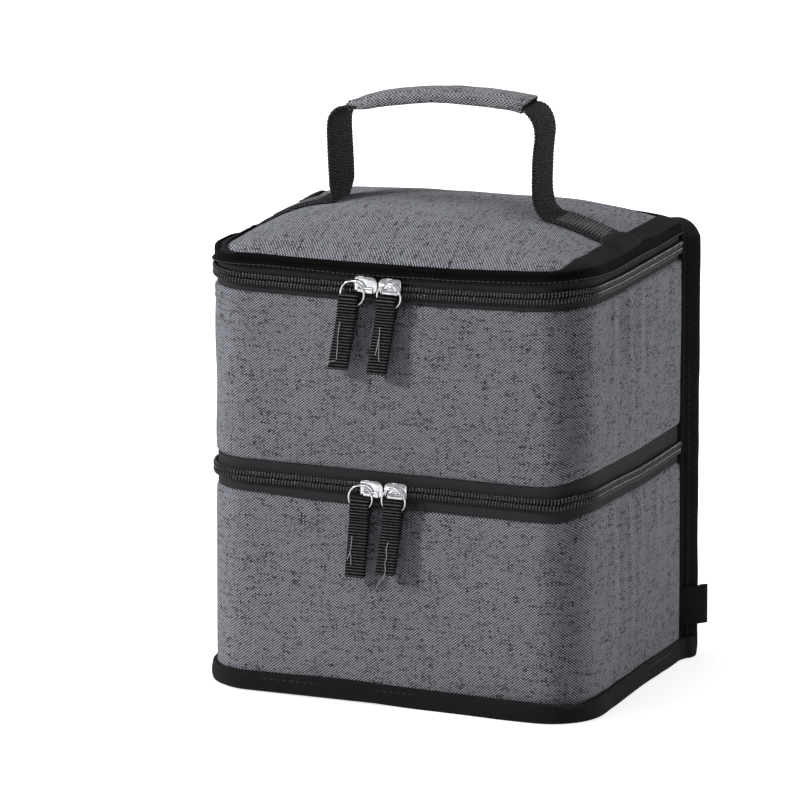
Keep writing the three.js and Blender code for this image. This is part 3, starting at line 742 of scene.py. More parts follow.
def wall_panel(name, wall):
    low, high = wall["low"], wall["high"]
    edge = [0.0, 0.0006, 0.0016]
    count = round((high - low) / 0.0024)
    levels = [low + rise for rise in edge]
    levels += [low + 0.0030 + (high - low - 0.0060) * i / count for i in range(count + 1)]
    levels += [high - drop for drop in edge[::-1]]

    def turned(side, over):
        run = -over * 1.4 if side < 0 else WALL_RUN + over * 1.4
        return [(Vector((side * (WIDTH / 2 + over), BACK + over - 0.0009, z)), (run, z)) for z in levels]

    over = [0.0040, 0.0020, 0.0006]
    grid = [turned(-1, by) for by in over]
    for run in wall_runs(0.0024, 0.0030):
        grid.append([(plan(run, wall_out(run, z, wall))[0] + UP * z, (run, z)) for z in levels])
    return sheet(name, grid + [turned(1, by) for by in over[::-1]], MELANGE, 0.0010)


for name, wall, body in [("lower", LOWER_WALL, "lower_box"), ("upper", UPPER_WALL, "upper_box")]:
    panel = ride(wall_panel(f"{name}_wall_fabric", wall), body, "melange_fabric", f"{name}_wall_cover")
    if name == "lower":
        nudge(panel, lambda at: (middle_zip_rise(at) + low_tape(at)) * ease((at.z - LOWER_TOP + 0.03) / 0.03))
    else:
        nudge(panel, lambda at: (lid_zip_sag(at) * ease((at.z - UPPER_TOP + 0.05) / 0.05)
                                 + (middle_zip_rise(at) + tall_tape(at)) * (1 - ease((at.z - UPPER_LOW) / 0.03))))


# Back panel: one cloth from the foot to the floor seam, and one from there over the lid's fold.
def back_panel(name, low, high):
    levels = spaced(low, high, 0.003)
    columns = 74

    def turned(side, over):
        grid = []
        for z in levels:
            flat = ease((z - 0.236) / 0.010)
            at = Vector((side * (WIDTH / 2 - 0.0002 + over * (1 - 1.6 * flat)), BACK + over * (1 - flat), z))
            grid.append((at, (0.7 - side * (WIDTH / 2 + over * 1.4), z)))
        return grid

    def column(x):
        cells = []
        for z in levels:
            calm = min(1.0, min(abs(z - MIDDLE_FOLD), abs(z - LID_FOLD), z - low + 0.002, high - z + 0.002) / 0.02)
            edge = min(1.0, (WIDTH / 2 - abs(x)) / 0.012)
            soft = 0.0012 + 0.0009 * ripple(x * 16, z * 16, 7.7) + 0.0003 * ripple(x * 45, z * 45, 2.2)
            fold = 0.0006 * (bell(z, MIDDLE_FOLD, 0.0014) + bell(z, LID_FOLD, 0.0014))
            cells.append((Vector((x, BACK + soft * calm * edge - fold - 0.0002, z)), (0.7 - x, z)))
        return cells

    grid = [turned(1, 0.0036), turned(1, 0.0018)]
    grid += [column((WIDTH / 2 - 0.0004) * (1 - 2 * i / columns)) for i in range(columns + 1)]
    return sheet(name, grid + [turned(-1, 0.0018), turned(-1, 0.0036)], MELANGE, 0.0009)


lower_back = cross(back_panel("lower_back_fabric", 0.0015, SPLICE), MIDDLE_BEND, "melange_fabric", "lower_back_cover")
upper_back = cross(settle(back_panel("upper_back_fabric", SPLICE + 0.0004, BACK_TOP), 0.238, BACK_TOP), LID_BEND,
                   "melange_fabric", "upper_back_cover", "lid_back_strip")


# Zips: woven tapes, and rows of coil whose turns pass between those of the facing row.
def zip_tape(name, low, high, lift, body, *nodes):
    """Tape with rows of stitching at some shares of its height."""
    section = [Vector((-0.00130, low)), Vector((-0.00050, low))]
    for share, rise in ((0.12, 0), (0.2, 0.00012), (0.28, 0), (0.45, 0), (0.53, 0.00012), (0.75, 0), (0.83, 0.00012)):
        section.append(Vector((-0.00050 + rise, low + (high - low) * share)))
    section += [Vector((-0.00050, high)), Vector((-0.00130, high))]
    tape = swept(name, along_wall(), section, ZIP_TAPE,
                 wave=lambda run, p: (0.00018 * ripple(run * 28, p.y * 60), 0.0))
    return ride(nudge(tape, lift), body, "zip_tape", *nodes)


zip_tape("middle_zip_tape_of_lower", 0.1122, 0.1203,
         lambda at: middle_zip_rise(at) + low_tape(at) * ease((0.117 - at.z) / 0.004), "lower_box",
         "middle_zip_tape_lower")
zip_tape("middle_zip_tape_of_upper", 0.1217, 0.1298,
         lambda at: middle_zip_rise(at) + tall_tape(at) * ease((at.z - 0.124) / 0.006), "upper_box",
         "middle_zip_tape_upper")
zip_tape("lid_zip_tape_of_upper", 0.2267, 0.2333, lid_zip_sag, "upper_box", "lid_zip_tape_lower")
zip_tape("lid_zip_tape_of_lid", 0.2347, 0.2420, lid_zip_sag, "lid", "lid_zip_tape_upper")

COIL_PITCH = 0.0018


def coil_turn():
    """One turn of coil: an oval loop of nylon that stands off the tape, leaning a little along the row."""
    middle = (0, 0.00095, 0.0021)
    turn = torus("coil_turn", NYLON, (0.00125, 0.00046), (10, 6), (0, math.pi / 2, 0), middle)
    scaled(turn, lambda c: True, (1, 0.85, 1.22), middle)
    pick(turn, "VERT", lambda c: c.z > middle[2])
    bpy.ops.transform.translate(value=(0.00022, 0, 0))
    done()
    return turn


TURN = coil_turn()


def coil_row(name, foot, way, phase, lift, body, *nodes):
    """A row of turns whose feet are at the height foot and whose heads point up or down."""
    places = []
    run = 0.003 + phase * COIL_PITCH
    while run < WALL_RUN - 0.003:
        at, out = plan(run)
        along = Vector((-out.y, out.x, 0))
        places.append((at + UP * foot, along * way, out, UP * way))
        run += COIL_PITCH
    return ride(nudge(copied(TURN, name, places), lift), body, "zip_coil", *nodes)


coil_row("middle_zip_coil_of_lower", 0.1172, 1, 0.0, middle_zip_rise, "lower_box", "middle_zip_coil_lower")
coil_row("middle_zip_coil_of_upper", 0.1248, -1, 0.5, middle_zip_rise, "upper_box", "middle_zip_coil_upper")
coil_row("lid_zip_coil_of_upper", 0.2302, 1, 0.0, lid_zip_sag, "upper_box", "lid_zip_coil_lower")
coil_row("lid_zip_coil_of_lid", 0.2378, -1, 0.5, lid_zip_sag, "lid", "lid_zip_coil_upper")
bpy.data.objects.remove(TURN)


# Bindings: folded tape round the foot, the lid, the inner rims and down the back corners.
def foot_stations():
    """Stations all round the foot, with the square back corners turned in five steps."""
    stations, run, columns = along_wall(0.003, 0.0), WALL_RUN, 74
    for side in (1, -1):
        corner = Vector((side * WIDTH / 2, BACK, 0))
        for k in range(1, 6):
            angle = math.pi / 12 * k + (0 if side > 0 else math.pi / 2)
            run += 0.0007
            stations.append((corner, Vector((math.cos(angle), math.sin(angle), 0)), UP, run))
        if side > 0:
            for k in range(columns):
                run += WIDTH / columns
                at = Vector((WIDTH / 2 - WIDTH * (k + 0.5) / columns, BACK, 0))
                stations.append((at, BACKWARDS, UP, run))
    return stations


def binding_wave(run, p):
    return (0.00035 * ripple(run * 30, p.y * 40, 4.4) + 0.0002 * ripple(run * 110, p.y * 90),
            0.0005 * ripple(run * 24, 9.1))


def foot_wave(run, p):
    """Tucked out over the back seams' feet, rolled under at the left front corner."""
    out, up = binding_wave(run, p)
    tuck = max(0.0, 1 - min(run, 9.0) / 0.0012)
    for start in (WALL_RUN, WALL_RUN + 0.0042 + WIDTH):
        off = abs(run - start - 0.0021)
        tuck = max(tuck, 1 - off / 0.0028, 0.35 * (1 - off / 0.008))
    thin = (0.12 * bell(run, SIDE_RUN + ARC_RUN * 0.6, 0.07) + 0.10 * bell(run, MIDDLE_OF_FRONT + 0.075, 0.04)
            + 0.20 * bell(run, MIDDLE_OF_FRONT + 0.1045, 0.009))
    bulge = (0.0012 * bell(run, WALL_RUN - SIDE_RUN - ARC_RUN * 0.6, 0.05)
             + 0.0020 * bell(run, MIDDLE_OF_FRONT + 0.07, 0.03))
    up += 0.0014 * ease((MIDDLE_OF_FRONT + 0.02 - run) / 0.07) * ease((run - SIDE_RUN + 0.06) / 0.04)
    if p.x > 0.001:
        out += 0.0078 * clamp(tuck) + bulge
    return out, up - thin * p.y


FOOT = foot_stations()
foot = rounded([(0.0003, 0.0004), (0.0029, 0.0002, 0.0009), (0.0036, 0.0035, 0.002), (0.0033, 0.0085, 0.002),
                (0.0026, 0.0120, 0.0008), (0.0003, 0.0118)], 0.0003)
ride(swept("foot_binding", FOOT, foot, BINDING, ring=True, wave=foot_wave), "lower_box", "black_binding",
     "base_binding")
ride(stitches("foot_binding_stitches", [(at + out * 0.0030 + UP * 0.0085, out) for at, out, _, _ in FOOT[:-90]],
              BLACK_THREAD, length=0.0030), "lower_box", "black_binding")

LID_STATIONS = along_wall(0.003, 0.0016)
lid_edge = rounded([(-0.0004, 0.2420), (0.0010, 0.2416, 0.0003), (0.0022, 0.2421, 0.0004), (0.0023, 0.2430, 0.0004),
                    (0.0013, 0.2438, 0.0005), (0.0008, 0.2452, 0.0008), (0.0013, 0.2466, 0.0008),
                    (0.0006, 0.2479, 0.0008), (-0.0014, 0.2486, 0.0004), (-0.0016, 0.2478, 0.0002),
                    (-0.0004, 0.2460, 0.0004)], 0.0002)


def lip_wave(run, p):
    """The left side's lip stands off the tape it hangs over."""
    out, up = binding_wave(run, p)
    off = 0.0020 * ease(1 - (run - 0.10) / 0.05) * (0.2486 - p.y) / 0.0070
    stand = 0.0028 * ease((run - 0.078) / 0.040) * ease((0.150 - run) / 0.012) * ease((p.y - 0.2455) / 0.002)
    return 1.3 * out + off, 1.2 * up + stand


# The lid's edge binding uses the darker copy of the tape, which is painted shade.
ride(settle(swept("lid_edge_binding", LID_STATIONS, lid_edge, BINDING_PAINTED_SHADE, wave=lip_wave)), "lid", "black_binding",
     "lid_binding")
ride(settle(stitches("lid_edge_stitches", [(at + out * 0.0024 + UP * 0.2427, out) for at, out, _, _ in LID_STATIONS],
                     EDGE_THREAD, length=0.0024, gap=0.0005, radius=0.00024)), "lid", "black_binding")


def rim_tape(name, low, high, hang, body, *nodes):
    """Tape folded over an inner rim: flat on the foam's edge, with a leg against the lining."""
    outer, cloth, inner = -0.0016, -0.00135, -0.0073
    corners = [(outer, low), (outer, low - 0.0042), (cloth, low - 0.0042), (cloth, high), (RIM_LEG, high, 0.0006),
               (RIM_LEG, hang), (inner, hang), (inner, low)]
    tape = swept(name, along_wall(0.003, RIM_END), rounded(corners, 0.0002), BINDING,
                 wave=lambda run, p: (0.00015 * ripple(run * 40, p.y * 50), 0.0002 * ripple(run * 33, 1.5)))
    return ride(tape, body, "black_binding", *nodes)


rim_tape("lower_rim_tape", 0.1122, 0.1135, 0.1062, "lower_box", "lower_rim_binding")
rim_tape("upper_rim_tape", 0.2267, 0.2280, 0.2207, "upper_box", "upper_rim_binding")
floor_rim = rounded([(-0.0016, 0.1284), (-0.0016, 0.1298), (RIM_LEG, 0.1298), (RIM_LEG, 0.1284, 0.0006)], 0.0003)
ride(swept("floor_rim_tape", along_wall(0.003, RIM_END), floor_rim, BINDING), "upper_box", "black_binding",
     "floor_rim_binding")

HALF_FLANGE = [(0.0016, 0.0008, 0.0004), (0.0012, 0.0020, 0.0004), (0.0014, 0.0036, 0.0005), (0.0014, 0.0090, 0.001),
               (0.0010, 0.0114, 0.0009)]
FLANGE = rounded([(-0.0015, -0.0013), (0.0015, -0.0013), *HALF_FLANGE,
                  *[(-x, y, radius) for x, y, radius in HALF_FLANGE[::-1]]], 0.0003)


def flange_station(at, out, lean, run):
    """The bound seam stands out of the back edge, lean radians round from straight out towards straight back."""
    ahead = out * math.cos(lean) + BACKWARDS * math.sin(lean)
    flat = out * math.sin(lean) - BACKWARDS * math.cos(lean)
    return at, flat, ahead, run


# The right upright counts its runs from RIGHT_START, so that its foot can be told from the left one's. The
# uprights reach FLANGE_TOP, where they turn over the lid, and their feet are trimmed up to FOOT_CUT.
RIGHT_START, FLANGE_TOP, FOOT_CUT = 2.0, 0.2382, 0.006


def flange_wave(run, p):
    share = max(0.0, p.y / 0.011)
    low = run if run < 1 else run - RIGHT_START
    if low < FOOT_CUT and run < 3:
        return 0.0, -0.45 * (1 - math.sqrt(max(0.0, 1 - (1 - low / FOOT_CUT) ** 2))) * p.y
    return (share * (0.0007 * ripple(run * 26, 2.7) + 0.00025 * ripple(run * 95, p.y * 80)),
            share * 0.0004 * ripple(run * 35, 6.1))


def upright_flange(side, low, high):
    return [flange_station(Vector((side * WIDTH / 2, BACK, z)), Vector((side, 0, 0)), math.pi / 4,
                           z + (0.0 if side < 0 else RIGHT_START)) for z in spaced(low, high, 0.003)]


def top_flange():
    """Up the left back corner, over the lid's back edge and down the right one."""
    stations = upright_flange(-1, SPLICE - 0.0010, FLANGE_TOP)
    run, radius, top = FLANGE_TOP, 0.0112, 0.2480
    straight, steps, columns = WIDTH - 2 * radius, 13, 66
    for side in (-1, 1):
        for k in range(1, steps):
            angle = (math.pi if side < 0 else math.pi / 2) - math.pi / 2 * k / steps
            out = Vector((math.cos(angle), 0, math.sin(angle)))
            run += radius * math.pi / (2 * steps)
            share = k / steps if side < 0 else 1 - k / steps
            centre = Vector((side * (WIDTH / 2 - radius), BACK, top - radius))
            stations.append(flange_station(centre + out * radius, out, math.pi / 4 * (1 + share * 1.5), run))
        if side < 0:
            for k in range(columns):
                run += straight / columns
                at = Vector((-WIDTH / 2 + radius + straight * (k + 0.5) / columns, BACK, top))
                stations.append(flange_station(at, UP, math.pi / 4 * 2.5, run))
    down = upright_flange(1, SPLICE - 0.0010, FLANGE_TOP)[::-1]
    return stations + [(at, flat, ahead, run + FLANGE_TOP + RIGHT_START - r) for at, flat, ahead, r in down]


def flange_stitches(name, stations):
    places = [(at + ahead * 0.0047 + flat * 0.0013, flat) for at, flat, ahead, _ in stations]
    return stitches(name, places, BLACK_THREAD, length=0.0030)


for side, name in SIDES.items():
    stations = upright_flange(side, 0.0008, SPLICE)
    cross(swept(f"lower_back_seam_{name}", stations, FLANGE, BINDING, wave=flange_wave), MIDDLE_BEND,
          "black_binding", f"lower_back_binding_{name}")
    cross(flange_stitches(f"lower_back_seam_{name}_stitches", stations), MIDDLE_BEND, "black_binding")
TOP_FLANGE = top_flange()
thicker = [Vector((p.x * 1.16, p.y + 0.0002)) for p in FLANGE]
cross(settle(swept("top_back_seam", TOP_FLANGE, thicker, BINDING, wave=flange_wave), 0.236, BACK_TOP), LID_BEND,
      "black_binding", "upper_back_binding_left", "upper_back_binding_right", "lid_back_binding")
cross(settle(flange_stitches("top_back_seam_stitches", TOP_FLANGE), 0.236, BACK_TOP), LID_BEND, "black_binding")


# Flat and domed layers that fill the bag's outline.
def bag_outline(inset, step=0.0035):
    points = [plan(run, -inset)[0] for run in wall_runs(step, inset)]
    across = WIDTH - 2 * inset
    count = round(across / step)
    return points + [Vector((across / 2 - across * k / count, BACK - inset, 0)) for k in range(1, count)]


def morph(share, to_ellipse):
    return share * (share ** 2 + (1 - share ** 2) * to_ellipse)


def dome_rise(share):
    return LID_CROWN * (1 - share ** 2.6)


def lid_top(share, y=0.0):
    """The cloth's height: it turns up sharply behind the front binding, and slopes away at the sides."""
    puff = 0.0004 + 0.0022 * ease((-0.045 - y) / 0.02)
    return LID_RIM + dome_rise(share) + puff * (1 - math.exp(-(1 - share) * 0.09 / 0.0030))


def patch(name, inset, height, material, thickness, rings=26, down=False, domed=False, turned=False):
    """A layer of the bag's outline; height gives z from (x, y, share), share falling from 1 at the edge to 0."""
    outline = bag_outline(inset)
    half_x, half_y = WIDTH / 2 - inset, DEPTH / 2 - inset
    points = []
    for i in range(rings):
        share = 1 - (i / rings) ** (1.25 if domed else 1.0)
        for p in outline:
            size = morph(share, 1 / math.hypot(p.x / half_x, p.y / half_y)) if domed else share
            x, y = p.x * size, p.y * size
            points.append(Vector((x, y, height(x, y, share))))
    points.append(Vector((0, 0, height(0, 0, 0))))
    count, faces = len(outline), []
    for k in range(count):
        l = (k + 1) % count
        faces += [(a + k, a + l, a + count + l, a + count + k) for a in range(0, (rings - 1) * count, count)]
        faces.append(((rings - 1) * count + k, (rings - 1) * count + l, len(points) - 1))
    if down:
        faces = [f[::-1] for f in faces]
    maps = [(p.y + 0.4, p.x + 0.4) if turned else (p.x + 0.4, p.y + 0.4) for p in points]
    return thicken(new_object(name, points, faces, material, maps), thickness)


def lid_height(x, y, share):
    """The lid's outer fabric: puffed over its binding and a little uneven."""
    return (lid_top(share, y) + 0.0007 * ripple(x * 22, y * 22, 5.0) * min(1, (1 - share) * 8)
            + 0.0003 * ripple(x * 60, y * 60, 1.0) * min(1, (1 - share) * 10))


lid_cloth = settle(patch("lid_fabric", 0.0003, lid_height, MELANGE, 0.0010, rings=44, domed=True, turned=True))
ride(lid_cloth, "lid", "melange_fabric", "lid_cover")
lid_padding = settle(patch("lid_padding", 0.0016, lambda x, y, s: lid_top(s, y) - 0.0014, FOAM, 0.0040, rings=30,
                           domed=True))
ride(lid_padding, "lid", "foam", "lid_foam")
LID_FACE = BVHTree.FromPolygons([v.co.copy() for v in lid_cloth.data.vertices],
                                [tuple(f.vertices) for f in lid_cloth.data.polygons])


def on_lid(x, y):
    """Height of the lid's outer face over a point."""
    limit = WIDTH / 2 - 0.0009
    hit = LID_FACE.ray_cast(Vector((max(-limit, min(limit, x)), y, 0.4)), -UP)[0]
    return hit.z if hit else LID_RIM + lid_shift(x, y)


def side_band(side):
    """Wide tape over the lid's side, laid on the cloth and over the end of the handle's webbing."""
    grid, cells = [], 8
    for i in range(60):
        y = -0.0744 + 0.1489 * i / 59
        wide = MM * read(SIDE_BANDS[side], y) + 0.0003 * ripple(y * 60, side * 3.0)
        lift = 0.0015 * ease((0.0155 - abs(y)) / 0.003)
        into = max(0.0, FRONT + CORNER - y)
        turn = WIDTH / 2 - CORNER + math.sqrt(CORNER ** 2 - into ** 2)
        row = []
        for k in range(cells + 1):
            x = side * (turn + 0.0002 - wide * k / cells)
            edge = min(1.0, k / 2)
            z = (on_lid(x * 0.992, y) + 0.0008 + lift * edge - 0.0006 * (1 - edge) - 0.0004 * (k == cells)
                 + 0.00025 * ripple(x * 90, y * 90, 6.0))
            row.append((Vector((x, y, z)), (y, wide * k / cells)))
        grid.append(row[::side])
    return sheet(f"lid_side_band_{SIDES[side]}", grid, BINDING, -0.0007)


for side in SIDES:
    ride(side_band(side), "lid", "black_binding")


def crinkle(x, y, z, size=0.0010):
    """Sharp folds of stiff film, from 0 to size deep."""
    a = abs(ripple(x * 60, y * 60, z * 60)) + 0.5 * abs(ripple(x * 130 + 5, y * 130, z * 130))
    return size * min(1.0, 1.4 * a)


def cut(piece, flat, held, *rests_on, corner=0.0):
    """Takes the size that a sheet was cut to, the CAD panel's own measures plus what crinkles and sag take up, and
    returns the sheet unchanged.
    """
    width, length = flat
    width * length - 0.4292 * corner ** 2
    return piece


def lined(piece, body, node, flat, held, *rests_on, corner=0.0):
    return cut(ride(piece, body, "foil_lining", node), flat, held, *rests_on, corner=corner)


def foil_wall(box, low, high):
    grid = []
    for run in wall_runs(0.0032, RIM_END):
        at, out = plan(run)
        depths = [(z, 0.0066 + crinkle(at.x, at.y, z, 0.0009) * min(1.0, (z - low) / 0.004, (high - z) / 0.008))
                  for z in spaced(low, high, 0.0032)]
        grid.append([(at - out * (depth - 0.0003) + UP * z, (run, z)) for z, depth in depths])
    inner_run = WALL_RUN - 2 * RIM_END - math.pi * 0.0063
    lined(sheet(f"{box}_foil_wall", grid, FOIL, 0.0003), f"{box}_box", f"{box}_wall_lining",
          (high - low, 1.004 * inner_run), "stretched", f"{box}_wall_foam")


def foil_back(box, low, high):
    """Back lining, rolled over the foam's top edge to meet the outer cloth at the fold."""
    profile = [(0.0684, low + (high - 0.0030 - low) * i / 34) for i in range(35)]
    profile += [(0.0687, high - 0.0012), (0.0697, high - 0.0002), (0.0715, high + 0.0004), (0.0737, high + 0.0006)]
    grid = []
    for i in range(66):
        x = -0.1030 + 0.2060 * i / 65
        row = []
        for k, (y, z) in enumerate(profile):
            rolled = k >= 33
            depth = crinkle(x, 0.4, z, 0.0009) * (0.35 if rolled else 1.0)
            sink = 0.0009 * abs(ripple(x * 55, k * 0.9, high * 40)) if rolled else 0.0
            row.append((Vector((x, y - 0.0003 - depth, z - sink)), (x, z)))
        grid.append(row)
    lined(sheet(f"{box}_foil_back", grid, FOIL, 0.0003), f"{box}_box", f"{box}_back_lining",
          (0.2060, high - low + 0.0048), "stretched", f"{box}_back_foam")


foil_wall("lower", 0.0066, 0.1120)
foil_wall("upper", 0.1364, 0.2265)
foil_back("lower", 0.0066, 0.1200)
foil_back("upper", 0.1364, 0.2330)

base_cloth = patch("base_cloth", 0.0002, lambda x, y, s: 0.0002 + 0.0003 * (1 + ripple(x * 18, y * 18)) * (1 - s),
                   BASE_CLOTH, 0.0008, down=True)
cut(ride(base_cloth, "lower_box", "base_fabric", "base_cover"), (0.2205, 0.1503), "stretched", "base_foam",
    corner=CORNER)
for name, inset, z, lift, body, node, foam in [
    ("base_foil", 0.0068, 0.0059, 1, "lower_box", "base_lining", "base_foam"),
    ("floor_foil_top", 0.0077, 0.1365, 1, "upper_box", "floor_lining_top", "floor_foam"),
    ("floor_foil_under", 0.0016, 0.1303, -1, "upper_box", "floor_lining_under", "floor_foam"),
]:
    film = patch(name, inset, lambda x, y, s: z + lift * crinkle(x, y, z, 0.0008) * min(1, (1 - s) * 12), FOIL, 0.0003,
                 rings=34, down=lift < 0)
    lined(film, body, node, (1.003 * (WIDTH - 2 * inset), 1.003 * (DEPTH - 2 * inset)), "stretched", foam,
          corner=CORNER - inset)

lid_foil = settle(patch("lid_foil", 0.0017,
                        lambda x, y, s: 0.2418 + dome_rise(s) - crinkle(x, y, 0.2, 0.0014) * min(1, (1 - s) * 9),
                        FOIL, 0.0003, rings=40, down=True, domed=True))
lined(lid_foil, "lid", "lid_lining", (0.2225, 0.1525), "stretched", lid_padding, corner=CORNER)


HALF_POCKET, MOUTH_Y = 0.107, -0.022


def inside_pocket(x):
    """0 at the pocket's side seams, 1 away from them."""
    return min(1.0, (HALF_POCKET - abs(x)) / 0.03)


def pocket():
    """Foil pocket across the rear of the lid; its mouth hangs a little open."""
    grid = []
    for i in range(62):
        x = (HALF_POCKET - 0.0002) * (2 * i / 61 - 1)
        row = []
        for k in range(30, -1, -1):
            y = MOUTH_Y + 0.0940 * k / 30
            sag = 0.0045 * inside_pocket(x) * math.exp((MOUTH_Y - y) / 0.05) * min(1.0, (0.072 - y) / 0.02)
            depth = crinkle(x, y, 0.9, 0.0011) * inside_pocket(x) * ease((y + 0.018) / 0.008)
            row.append((Vector((x, y, 0.2411 - sag - depth)), (x, y)))
        grid.append(row)
    return sheet("lid_foil_pocket", grid, FOIL, -0.0003)


lined(settle(pocket()), "lid", "lid_pocket", (0.2140, 0.0955), "hung", lid_foil)
mouth = rounded([(-0.0007, -0.0028), (-0.0007, 0.0050), (0.0004, 0.0050), (0.0004, -0.0028)], 0.0005)
mouth_stations = [(Vector((x, MOUTH_Y - 0.0005, 0.2408 - 0.0045 * inside_pocket(x))), UP, BACKWARDS, x + 0.2)
                  for x in [HALF_POCKET * (2 * i / 60 - 1) for i in range(61)]]
ride(settle(swept("pocket_mouth_tape", mouth_stations, mouth, BINDING)), "lid", "black_binding", "lid_pocket_binding")

for name in ("lower_wall_foam", "upper_wall_foam", "lower_back_foam", "upper_back_foam", "floor_foam", "base_foam"):
    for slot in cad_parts[name].material_slots:
        slot.material = FOAM


# Handle: one length of webbing from side seam to side seam, and a folded sleeve round its middle.
def smooth_path(points, step):
    """Points along a smooth curve through the given ones, evenly spaced."""
    dense = []
    ends = [points[0] * 2 - points[1], *points, points[-1] * 2 - points[-2]]
    for a, b, c, d in zip(ends, ends[1:], ends[2:], ends[3:]):
        for i in range(24):
            t = i / 24
            dense.append(0.5 * (2 * b + (c - a) * t + (2 * a - 5 * b + 4 * c - d) * t ** 2
                                + (3 * b - a - 3 * c + d) * t ** 3))
    dense.append(points[-1])
    runs = run_lengths(dense)
    count = round(runs[-1] / step)
    at = [runs[-1] * i / count for i in range(count + 1)]
    coordinates = [np.interp(at, runs, [p[i] for p in dense]) for i in range(len(points[0]))]
    return [Vector(p) for p in zip(*coordinates)], at


# The strap's flat ends on the lid (x), and its upright legs (x, z), on each side; in millimetres.
STRAP_ENDS = {
    1: ((106, 99, 92, 85, 78, 71.0, 65.0),
        [(60.9, 265.6), (58.8, 270.5), (57.9, 278), (58.0, 286), (58.3, 294), (58.9, 301), (59.5, 308), (58.4, 314.4),
         (54.8, 319.8), (48.2, 322.7), (30, 324.2)]),
    -1: ((106, 99, 92, 85, 78, 70.5, 64.8),
         [(60.7, 260.4), (59.4, 264.6), (59.2, 270), (59.4, 277), (59.8, 285), (60.3, 294), (60.6, 302), (59.8, 308.0),
          (56.6, 312.0), (51.6, 314.4), (43.5, 316.8), (29, 320.2)])}


def strap_side(way):
    flat, legs = STRAP_ENDS[way]
    return ([Vector((way * x * MM, 0, on_lid(way * x * MM, 0) + 0.0011)) for x in flat]
            + [Vector((way * x * MM, 0, z * MM)) for x, z in legs])


def strap_stations():
    path, runs = smooth_path(strap_side(-1) + [Vector((0, 0, 0.3240))] + strap_side(1)[::-1], 0.0005)
    stations = []
    for i, at in enumerate(path):
        ahead = heading(path, i)
        twist = 0.0
        if at.z > 0.262:
            twist = (0.15 if at.x < 0 else -0.06) * ease((at.z - 0.262) / 0.010) * ease((abs(at.x) - 0.045) / 0.012)
        flat = Vector((-ahead.z, 0, ahead.x))
        stations.append((at, flat * math.cos(twist) + BACKWARDS * math.sin(twist),
                         BACKWARDS * math.cos(twist) - flat * math.sin(twist), runs[i]))
    return stations


def lie_on_lid(at):
    """Bends the flat strap ends across their width to the dome."""
    share = clamp((abs(at.x) - 0.067) / 0.008) if at.z < 0.275 else 0.0
    return share * (on_lid(at.x, at.y) - on_lid(at.x, 0))


def strip_section(h, w, radius):
    """The section of flat webbing, from half its height and half its width."""
    return rounded([(-h, -w), (-h, w), (h, w), (h, -w)], radius, 2)


STRAP = strap_stations()
STRAP_RUN = STRAP[-1][3]
HALF_STRAP = 0.0125


def strap_wave(run, p):
    """Serrated selvedges; gathered narrower where it runs through the sleeve."""
    phase = run * 2 * math.pi / 0.0021
    edge, rib = math.copysign(0.00030 * math.sin(phase), p.y), 0.00016 * math.cos(phase) * math.copysign(1, p.x)
    near = ease(1 - (abs(run - STRAP_RUN / 2) - 0.046) / 0.012)
    return (rib + 0.0003 * ripple(run * 45, p.y * 40, 2.0) - 0.0012 * near * abs(p.y) / HALF_STRAP,
            edge - 0.22 * near * p.y)


webbing = swept("handle_webbing", STRAP, strip_section(0.0008, HALF_STRAP, 0.0005), WEBBING, wave=strap_wave)
cross(nudge(webbing, lie_on_lid), STRAP_BEND, "webbing", "handle_strap", "handle_anchor_left", "handle_anchor_right")


def zigzag(side):
    """Rows of slanting stitches that hold the webbing's flat end down."""
    places, lines, steps = [], 29, 6
    for i in range(lines):
        for k in range(steps):
            x = side * (0.0700 + 0.0255 * i / (lines - 1)) + side * 0.00093 * k / steps
            y = 0.0098 * (1 if i % 2 else -1) * (1 - 2 * k / steps)
            places.append((Vector((x, y, on_lid(x, y) + 0.0022)), UP))
    return stitches(f"strap_stitches_{SIDES[side]}", places, DIM_THREAD, length=0.0021, gap=0.0010, radius=0.00028)


for side in SIDES:
    ride(zigzag(side), "lid", "webbing")

GRIP = [s for s in STRAP[::4] if -0.0530 <= s[0].x <= 0.0520 and s[0].z > 0.3]


def sleeve_section(w, h, thickness):
    """A strip of cloth wrapped round the strap, its two edges meeting underneath; w and h are half its size."""
    corners = [(-h, 0.0006), (-h, w, 0.0022), (h, w, 0.0022), *[(h, w * (0.6 - 0.1 * k)) for k in range(14)],
               (h, -w, 0.0022), (-h, -w, 0.0022), (-h, -0.0006)]
    outer = rounded(corners, 0.0002, 4)
    h, w = h - thickness, w - thickness
    inner = rounded([(-h, -0.0006), (-h, -w, 0.001), (h, -w, 0.001), (h, w, 0.001), (-h, w, 0.001), (-h, 0.0006)],
                    0.0002, 3)
    return outer + inner


def grip_wave(run, p):
    sag = 0.0005 * ripple(run * 40, p.y * 60, 3.3) + 0.0003 * ripple(run * 110, p.y * 110)
    side = 0.0004 * ripple(run * 45, 8.2)
    crown = 0.0006 * (1 - (p.y / 0.0112) ** 2) if p.x > 0 else 0.0
    ridge = 0.0
    if p.x > 0.001:
        fold = -0.0058 + 0.0008 * ripple(run * 30, 4.7)
        ridge = -0.0006 * ease((fold - p.y) / 0.0008) + 0.0003 * bell(p.y, fold + 0.0012, 0.0010)
    start = ease(1 - (run - GRIP[0][3]) / 0.016)
    side -= 0.22 * start * p.y
    return (sag + crown + ridge - 0.25 * start * p.x, side)


grip = ride(swept("grip_sleeve", GRIP, sleeve_section(0.0116, 0.0030, 0.0009), GRIP_CLOTH, wave=grip_wave), "handle",
            "grip_fabric", "handle_grip")
ride(swept("grip_padding", GRIP[9:-1], sleeve_section(0.0100, 0.0018, 0.0006), FOAM), "handle", "foam")


# Sliders, rings and webbing pulls.
RING_Y, RING_REACH = -0.08075, 0.0067  # where the rings hang, and how far their wire is from their middle


